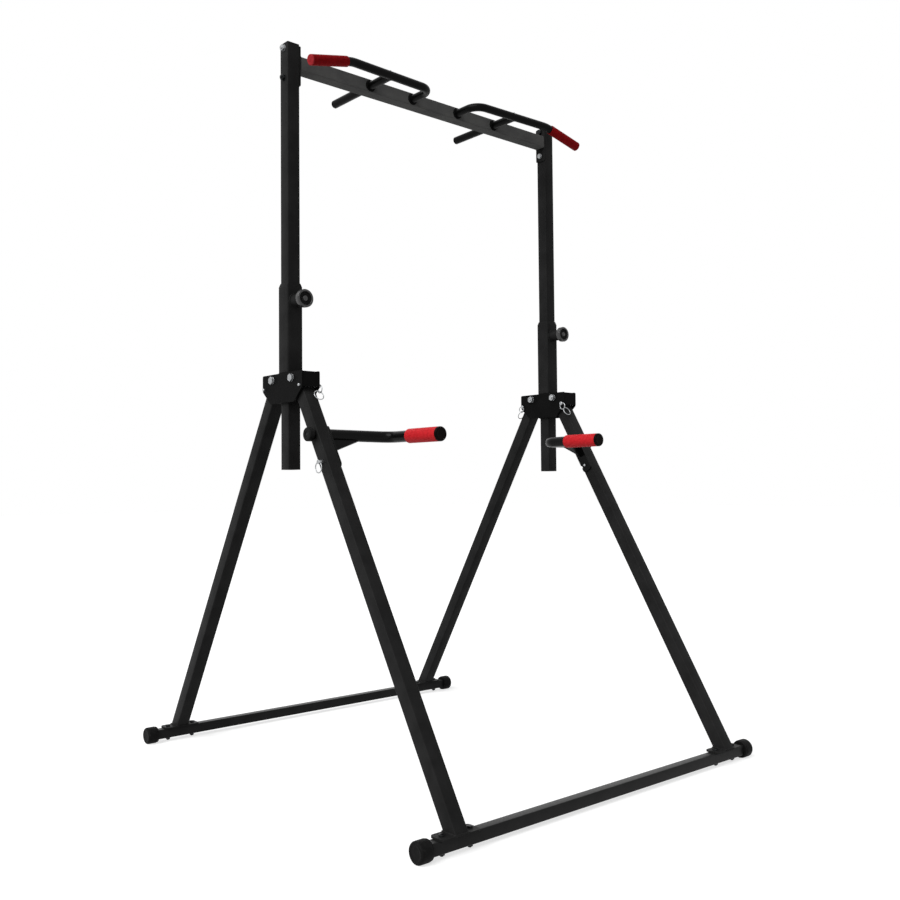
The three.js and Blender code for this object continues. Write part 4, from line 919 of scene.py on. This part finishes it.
def make_upright(side, sign):
    node = f"upright_{side}"
    bottom, top = low(node).z, high(node).z
    tube = moved(square_tube(UPRIGHT_SIZE, UPRIGHT_CORNER, top - bottom), 0, 0, bottom)
    drills = [(Vector((0, -UPRIGHT_SIZE / 2, KNOB_HEIGHT - i * HOLE_PITCH)), Y_AXIS, PLUNGER + 2 * BORE_FIT,
               UPRIGHT_SIZE / 2) for i in range(HOLE_COUNT)]
    tube = moved(bored(tube, drills), sign * POST_X, 0, 0)
    piece(f"upright_tube_{side}", tube, frame_coat, "upper_frame", [node], FINE_EDGE)

    cap_node = f"upright_cap_{side}"
    lid = high(cap_node).z - top
    cap = block(UPRIGHT_SIZE, UPRIGHT_SIZE, lid, sign * POST_X, 0, top + lid / 2)
    bevelled(cap, edges_along(cap, Z_AXIS), UPRIGHT_CORNER)
    rim = [e for f in cap.faces if f.normal.z > PARALLEL for e in f.edges]
    bevelled(cap, rim, lid * POST_CAP_ROUND, LID_STEPS)
    inside = UPRIGHT_SIZE - 2 * TUBE_WALL - MM
    stopper = block(inside, inside, POST_CAP_DEPTH, sign * POST_X, 0, top - POST_CAP_DEPTH / 2)
    piece(f"post_cap_{side}", joined(cap, stopper), nylon, "upper_frame", [cap_node], 0)

    for level in ("upper", "lower"):
        bolt_node = f"crossbar_bolt_{level}_{side}"
        bolt = bolt_and_nut(FRAME_BOLT, UPRIGHT_SIZE + END_PLATE + TOUCH)
        moved(bolt, POST_X - UPRIGHT_SIZE / 2 - END_PLATE - TOUCH, 0, middle(bolt_node).z)
        # Black zinc on two of these bolts is painted shade
        plating = black_zinc if (level, side) in SHADED_BOLTS else zinc
        piece(f"post_bolt_{level}_{side}", mirrored(bolt, sign), plating, "upper_frame",
              [bolt_node], 0)


def make_crossbar():
    half = POST_X - UPRIGHT_SIZE / 2 - END_PLATE
    size = high("crossbar").y - low("crossbar").y
    tube = square_tube(size, UPRIGHT_CORNER, 2 * half)
    rotated(tube, math.pi / 2, Y_AXIS)
    moved(tube, -half, 0, CROSSBAR_Z)
    holes = [(Vector((sign * NEUTRAL_X, 0, CROSSBAR_Z)), Y_AXIS, GRIP_TUBE + 2 * BORE_FIT, 2 * size)
             for sign in SIDES.values()]
    tube = bored(tube, holes)
    bottom, top = low("crossbar").z, high("crossbar").z
    corners = [(y, z, END_PLATE_CORNER)
               for y, z in ((size / 2, bottom), (size / 2, top), (-size / 2, top), (-size / 2, bottom))]
    edge = size / 2 - WELD_OFFSET
    plates, beads = [], []
    for sign in SIDES.values():
        plates.append(mirrored(moved(side_plate(corners, END_PLATE), half, 0, 0), sign))
        loop = [Vector((sign * half, y, CROSSBAR_Z + z)) for y, z in rectangle_points(edge, edge)]
        beads.append(weld_bead(loop, NARROW_WELD))
    # The crossbar tube's paler coat is painted light
    piece("crossbar_tube", tube, lit_crossbar_coat, "upper_frame", ["crossbar"], FINE_EDGE)
    piece("crossbar_end_plates", joined(*plates), frame_coat, "upper_frame", ["crossbar"],
          FINE_EDGE)
    piece("crossbar_weld", joined(*beads), frame_coat, "upper_frame", ["crossbar"], 0)


def make_pull_up_bar(side, sign):
    """The bent bar and the straight neutral grip that it is welded to, which goes through the crossbar."""
    node, body = f"pull_up_bar_{side}", "upper_frame"
    wide = bent_tube(BAR_POINTS, [GRIP_ROOT_BEND, GRIP_SHOULDER_BEND], GRIP_TUBE)
    share = (NEUTRAL_X - GRIP_ROOT_X) / (GRIP_SHOULDER_X - GRIP_ROOT_X)
    meeting = BAR_POINTS[1].lerp(BAR_POINTS[2], share)
    neutral = bent_tube([meeting, Vector((NEUTRAL_X, high(node).y, CROSSBAR_Z))], [], GRIP_TUBE)
    face, radius = -UPRIGHT_SIZE / 2, GRIP_TUBE / 2
    beads = [weld_bead(ring_points((x, y, CROSSBAR_Z), Y_AXIS, radius + WELD_OFFSET), WIDE_WELD)
             for x, y in ((GRIP_ROOT_X, face), (NEUTRAL_X, face), (NEUTRAL_X, -face))]
    saddle = []
    for spot in ring_points((NEUTRAL_X, meeting.y, CROSSBAR_Z), Y_AXIS, radius):
        height = spot.z - CROSSBAR_Z
        depth = 0.97 * math.sqrt(max(0, radius ** 2 - height ** 2))  # just inside the bar's round back
        saddle.append(Vector((spot.x, meeting.y + depth, spot.z)))
    beads.append(weld_bead(saddle, NARROW_WELD))
    tubes = mirrored(joined(wide, neutral), sign)
    piece(f"pull_up_tubes_{side}", tubes, bar_coat, body, [node], FINE_EDGE)
    welds = mirrored(joined(*beads), sign)
    piece(f"pull_up_welds_{side}", welds, matt_coat, body, [node], 0)


def tube_plug(*head):
    """A plug whose neck sits in a pull-up tube that ends at z = 0; head is the profile of what shows."""
    return turned([(0, -PLUG_DEPTH, 0), (PLUG_NECK, -PLUG_DEPTH, MM), (PLUG_NECK, TOUCH, 0), *head])


def make_pull_up_ends(side, sign):
    """The foam grip, its closed end, and the plug at the back of the neutral grip."""
    body = "upper_frame"
    root, shoulder, end = BAR_POINTS[1:]
    run = (end - shoulder).normalized()
    bend_end = shoulder + run * GRIP_SHOULDER_BEND * math.tan(run.angle(shoulder - root) / 2)
    radius = GRIP_TUBE / 2 + FOAM_THICKNESS
    foam = foam_sleeve(GRIP_TUBE / 2 + TOUCH, radius, (end - bend_end).length - GRIP_SETBACK)
    # The pull-up grips' darker foam is painted shade
    item = piece(f"pull_up_foam_{side}", mirrored(along(foam, -run, end), sign), shaded_foam, body,
                 [f"pull_up_grip_{side}"], 0)

    # The closed end's paler foam is painted highlight
    top = TOUCH + PLUG_HEAD
    closed = tube_plug((radius, TOUCH, 0.3 * MM), (radius, top, 2.4 * MM), (GRIP_TUBE * 0.3, top, MM),
                       (GRIP_TUBE * 0.26, PLUG_HEAD, MM), (0, PLUG_HEAD, 0))
    piece(f"grip_end_{side}", mirrored(along(closed, run, end), sign), lit_end_foam, body,
          [f"pull_up_plug_{side}"], 0)
    stub = tube_plug((GRIP_TUBE / 2, TOUCH, 0.4 * MM), (GRIP_TUBE / 2, top, 2.2 * MM), (0, top, 0))
    along(stub, Y_AXIS, (sign * NEUTRAL_X, high(f"pull_up_bar_{side}").y, CROSSBAR_Z))
    piece(f"neutral_plug_{side}", stub, nylon, body, [f"neutral_grip_plug_{side}"], 0)


# Dip handles

def dip_plate():
    """The plate along the leg, with the curved slot by which it hooks over its lock pin."""
    half = DIP_PLATE_WIDTH / 2
    corners = [(half, DIP_PLATE_ABOVE), (half, -DIP_PLATE_BELOW),
               (-half, -DIP_PLATE_BELOW), (-half, DIP_PLATE_ABOVE)]
    part = side_plate([(y, z, half * DIP_PLATE_ROUND) for y, z in corners], DIP_PLATE)
    slot = bmesh.new()
    bmesh.ops.create_grid(slot, x_segments=1, y_segments=1, size=0.5,
                          matrix=Matrix.Translation((DIP_PLATE / 2, 0, -DIP_PIN_ALONG))
                          @ Matrix.Rotation(math.pi / 2, 4, X_AXIS)
                          @ Matrix.Diagonal((3 * DIP_PLATE, 2 * PIN_SLOT_ROOM, 1, 1)))
    sweep = 2 * math.asin(half / DIP_PIN_ALONG)
    bmesh.ops.spin(slot, geom=slot.verts[:] + slot.edges[:] + slot.faces[:], cent=(0, 0, 0), axis=X_AXIS,
                   dvec=(0, 0, 0), angle=sweep, steps=BOLT_STEPS, use_merge=False, use_duplicate=False)
    part = bored(cut(part, outward(slot)), [
        (Vector((DIP_PLATE / 2, 0, -DIP_PIN_ALONG)), X_AXIS, 2 * PIN_SLOT_ROOM, 3 * DIP_PLATE),
        (Vector((DIP_PLATE / 2, 0, 0)), X_AXIS, FRAME_BOLT + 2 * BORE_FIT, 3 * DIP_PLATE)])
    bmesh.ops.dissolve_degenerate(part, dist=SLIVER, edges=part.edges)
    return part


def dip_gusset():
    """A web in the corner between the plate and the tube's first run, under the tube."""
    root = Vector((DIP_PLATE_FACE - DIP_PLATE / 2, 0, 0))
    run = (DIP_POINTS[1] - root).normalized()
    down = Vector((0, -math.sin(LEG_ANGLE), -math.cos(LEG_ANGLE)))
    normal = run.cross(down).normalized()
    square = normal.cross(run).normalized()
    depth, lean = down.dot(square) * GUSSET_ALONG_LEG, down.dot(run) * GUSSET_ALONG_LEG
    web = plate([(0, 0, 0), (GUSSET_ALONG_TUBE, 0, 0), (GUSSET_ALONG_TUBE, DIP_TUBE / 2, GUSSET_CORNER),
                 (lean, depth, GUSSET_CORNER)], GUSSET)
    moved(web, 0, -GUSSET / 2, 0)
    axes = Matrix((run, -normal, square)).transposed().to_4x4()
    placed(web, Matrix.Translation(root) @ axes)
    return outward(web)


def make_dip_handle(side, sign):
    node, body = f"dip_handle_{side}", f"dip_arm_{side}"
    tube = bent_tube(DIP_POINTS, [DIP_BEND], DIP_TUBE)
    for vert in [v for v in tube.verts if v.co.x > DIP_PLATE_FACE - DIP_PLATE / 2]:
        vert.co.x = DIP_PLATE_FACE - DIP_PLATE / 2
    cheek = moved(dip_plate(), DIP_PLATE_FACE - DIP_PLATE, 0, 0)
    rotated(cheek, -LEG_ANGLE, X_AXIS)
    steel = mirrored(joined(tube, cheek, dip_gusset()), sign)
    run = (DIP_POINTS[1] - DIP_POINTS[0]).normalized()
    bead = weld_bead([spot + run * (DIP_PLATE_FACE - DIP_PLATE - spot.x) / run.x
                      for spot in ring_points(DIP_POINTS[0], run, DIP_TUBE / 2)])
    mirrored(bead, sign)
    piece(f"dip_tube_{side}", moved(steel, *DIP_PIVOT), handle_coat, body, [node], FINE_EDGE)
    piece(f"dip_weld_{side}", moved(bead, *DIP_PIVOT), handle_coat, body, [node], 0)

    foam_node, cap_node = f"dip_grip_{side}", f"dip_end_cap_{side}"
    radius = radius_of(foam_node)
    foam = foam_sleeve(DIP_TUBE / 2 + TOUCH, radius, high(foam_node).y - low(foam_node).y)
    along(foam, Y_AXIS, (sign * DIP_GRIP_X, low(foam_node).y, DIP_GRIP_Z))
    piece(f"dip_foam_{side}", foam, grip_foam, body, [foam_node], 0)

    length = high(cap_node).y - low(cap_node).y
    bore, seat = DIP_TUBE / 2 + TOUCH, length - DIP_CAP_SKIRT
    cap = turned([(0, DIP_CAP_DISH, 0), (radius * 0.6, DIP_CAP_DISH, MM), (radius * 0.68, 0, MM),
                  (radius, 0, DIP_CAP_ROUND), (radius, length, 0.6 * MM), (bore, length, 0), (bore, seat, 0),
                  (0, seat, 0)])
    along(cap, Y_AXIS, (sign * DIP_GRIP_X, low(cap_node).y, DIP_GRIP_Z))
    piece(f"dip_cap_{side}", cap, cap_vinyl, body, [cap_node], 0)


def make_clamp_knob(side, sign):
    """The knob that clamps a dip handle to its leg, on the leg's outside, with its bolt through both."""
    node, body = f"dip_pivot_knob_{side}", f"dip_knob_{side}"
    radius = radius_of(node)
    floor = DIP_KNOB_LENGTH - DIP_KNOB_DISH
    knob = turned([(0, 0, 0), (radius * 0.6, 0, MM), (radius * 0.6, 4 * MM, MM), (radius, 6 * MM, 3 * MM),
                   (radius, DIP_KNOB_LENGTH, 3 * MM), (radius * 0.4, DIP_KNOB_LENGTH, MM),
                   (radius * 0.36, floor, MM), (0, floor, 0)])
    along(knob, X_AXIS, (LEG_OUTSIDE, 0, 0))
    piece(f"clamp_knob_{side}", moved(mirrored(knob, sign), *DIP_PIVOT), nylon, body,
          [node], 0)
    start = min(abs(low(node).x), abs(high(node).x))
    length = LEG_OUTSIDE + DIP_KNOB_LENGTH - DIP_BOLT_TIP - start
    bolt = turned([(0, 0, 0), (FRAME_BOLT / 2, 0, MM), (FRAME_BOLT / 2, length, 1.2 * MM), (0, length, 0)],
                  BOLT_STEPS)
    along(bolt, X_AXIS, (start, 0, 0))
    piece(f"clamp_bolt_{side}", moved(mirrored(bolt, sign), *DIP_PIVOT), black_zinc, body, [node], 0)


def make_dip_pin(side, sign):
    node = f"dip_lock_pin_{side}"
    length = LEG_SIZE + 2 * TOUCH + DIP_PLATE + PIN_OVERRUN
    ring = moved(wire_ring(RING_RADIUS, RING_WIRE), RING_WIRE - DIP_PIN_HEAD_LENGTH, 0, 0)
    pin = mirrored(joined(ring_pin(length, DIP_PIN_HEAD_LENGTH), ring), -sign)
    moved(pin, sign * LEG_OUTSIDE, DIP_PIVOT_Y - DIP_PIN_ALONG * math.sin(LEG_ANGLE),
          DIP_PIVOT_Z - DIP_PIN_ALONG * math.cos(LEG_ANGLE))
    piece(f"dip_ring_pin_{side}", pin, zinc, f"dip_pin_{side}", [node], 0)


for side, sign in SIDES.items():
    for make in (make_sleeve, make_sleeve_guide, make_hub_bracket, make_knob_housing, make_plunger,
                 make_pull_knob, make_upright, make_pull_up_bar, make_pull_up_ends, make_dip_handle,
                 make_clamp_knob, make_dip_pin):
        make(side, sign)
    for end, end_sign in ENDS.items():
        make_pivot_bolt(side, sign, end, end_sign)
        make_leg_pin(side, sign, end, end_sign)
        make_leg(side, sign, end, end_sign)
        make_end_cap(side, sign, end)
for end, end_sign in ENDS.items():
    make_base(end, end_sign)
make_crossbar()


# Floor, light and camera

FLOOR_SIZE = 60
FLOOR_COLOUR = "#c4c4c4"
FLOOR_LIFT = 0.68  # what the floor shows beyond its own lit colour, so that it is white where no shadow falls
WHITE = (1, 1, 1, 1)
AMBIENT = 0.2  # the surround's strength as light on the object
# Each sun's direction, from the object, and its strength
SUNS = {"key": (Vector((-0.74, -0.14, 0.66)), 3.0), "fill": (Vector((0.5, 0.62, 0.6)), 0.35)}
SOFTNESS = math.radians(50)


def seen_directly(tree):
    """1 for a ray from the camera, for a reflection and for one through something clear, else 0."""
    rays = add(tree, "ShaderNodeLightPath")
    seen = add(tree, "ShaderNodeMath", {0: rays.outputs["Is Camera Ray"], 1: rays.outputs["Is Glossy Ray"]},
               operation="MAXIMUM")
    return add(tree, "ShaderNodeMath", {0: seen.outputs[0], 1: rays.outputs["Is Transmission Ray"]},
               operation="MAXIMUM").outputs[0]


def make_floor():
    """A plain floor that looks white where no shadow falls."""
    part = bmesh.new()
    bmesh.ops.create_grid(part, x_segments=1, y_segments=1, size=FLOOR_SIZE / 2)
    floor = as_object("floor", part)
    material, tree, shader = surface("white_floor", {"Base Color": colour(FLOOR_COLOUR), "Roughness": 1,
                                                     "Specular IOR Level": 0})
    lift = add(tree, "ShaderNodeMath", {0: seen_directly(tree), 1: FLOOR_LIFT}, operation="MULTIPLY")
    glow = add(tree, "ShaderNodeEmission", {"Color": WHITE, "Strength": lift.outputs[0]})
    both = add(tree, "ShaderNodeAddShader", {0: shader.outputs[0], 1: glow.outputs[0]})
    tree.links.new(both.outputs[0], tree.nodes["Material Output"].inputs["Surface"])
    floor.data.materials.append(material)


def make_light():
    """A surround that looks white and lights the object dimly, and two soft suns."""
    world = bpy.data.worlds.new("studio")
    bpy.context.scene.world = world
    world.use_nodes = True
    tree = world.node_tree
    tree.nodes.clear()
    lit = add(tree, "ShaderNodeBackground", {"Color": WHITE, "Strength": AMBIENT})
    white = add(tree, "ShaderNodeBackground", {"Color": WHITE, "Strength": 1})
    mix = add(tree, "ShaderNodeMixShader", {0: seen_directly(tree), 1: lit.outputs[0], 2: white.outputs[0]})
    add(tree, "ShaderNodeOutputWorld", {"Surface": mix.outputs[0]})
    for name, (direction, strength) in SUNS.items():
        lamp = bpy.data.lights.new(name, "SUN")
        lamp.energy, lamp.angle = strength, SOFTNESS
        sun = bpy.data.objects.new(name, lamp)
        sun.rotation_mode = "QUATERNION"
        sun.rotation_quaternion = direction.to_track_quat("Z", "Y")
        bpy.context.scene.collection.objects.link(sun)


CAMERA_PLACE = Vector((-2001.6, -2377.8, 820.6)) * MM
CAMERA_YAW = math.radians(41.0228)
CAMERA_PITCH = math.radians(2.1375)
CAMERA_ROLL = math.radians(0.4946)
FOCAL_PIXELS = 985.09
IMAGE_PIXELS = 900
SENSOR = 36


def make_camera():
    """The photograph's viewpoint, fitted to the straight edges of the frame."""
    level = Vector((math.cos(CAMERA_YAW), -math.sin(CAMERA_YAW), 0))
    ahead = Vector((math.cos(CAMERA_PITCH) * math.sin(CAMERA_YAW),
                    math.cos(CAMERA_PITCH) * math.cos(CAMERA_YAW), math.sin(CAMERA_PITCH)))
    below = ahead.cross(level)
    right = level * math.cos(CAMERA_ROLL) + below * math.sin(CAMERA_ROLL)
    down = below * math.cos(CAMERA_ROLL) - level * math.sin(CAMERA_ROLL)
    lens = bpy.data.cameras.new("camera")
    lens.sensor_width = SENSOR
    lens.lens = FOCAL_PIXELS / IMAGE_PIXELS * SENSOR
    camera = bpy.data.objects.new("camera", lens)
    turn = Matrix((right, -down, -ahead)).transposed().to_4x4()
    camera.matrix_world = Matrix.Translation(CAMERA_PLACE) @ turn
    bpy.context.scene.collection.objects.link(camera)
    bpy.context.scene.camera = camera


make_floor()
make_light()
make_camera()
bpy.context.scene.view_settings.view_transform = "Standard"
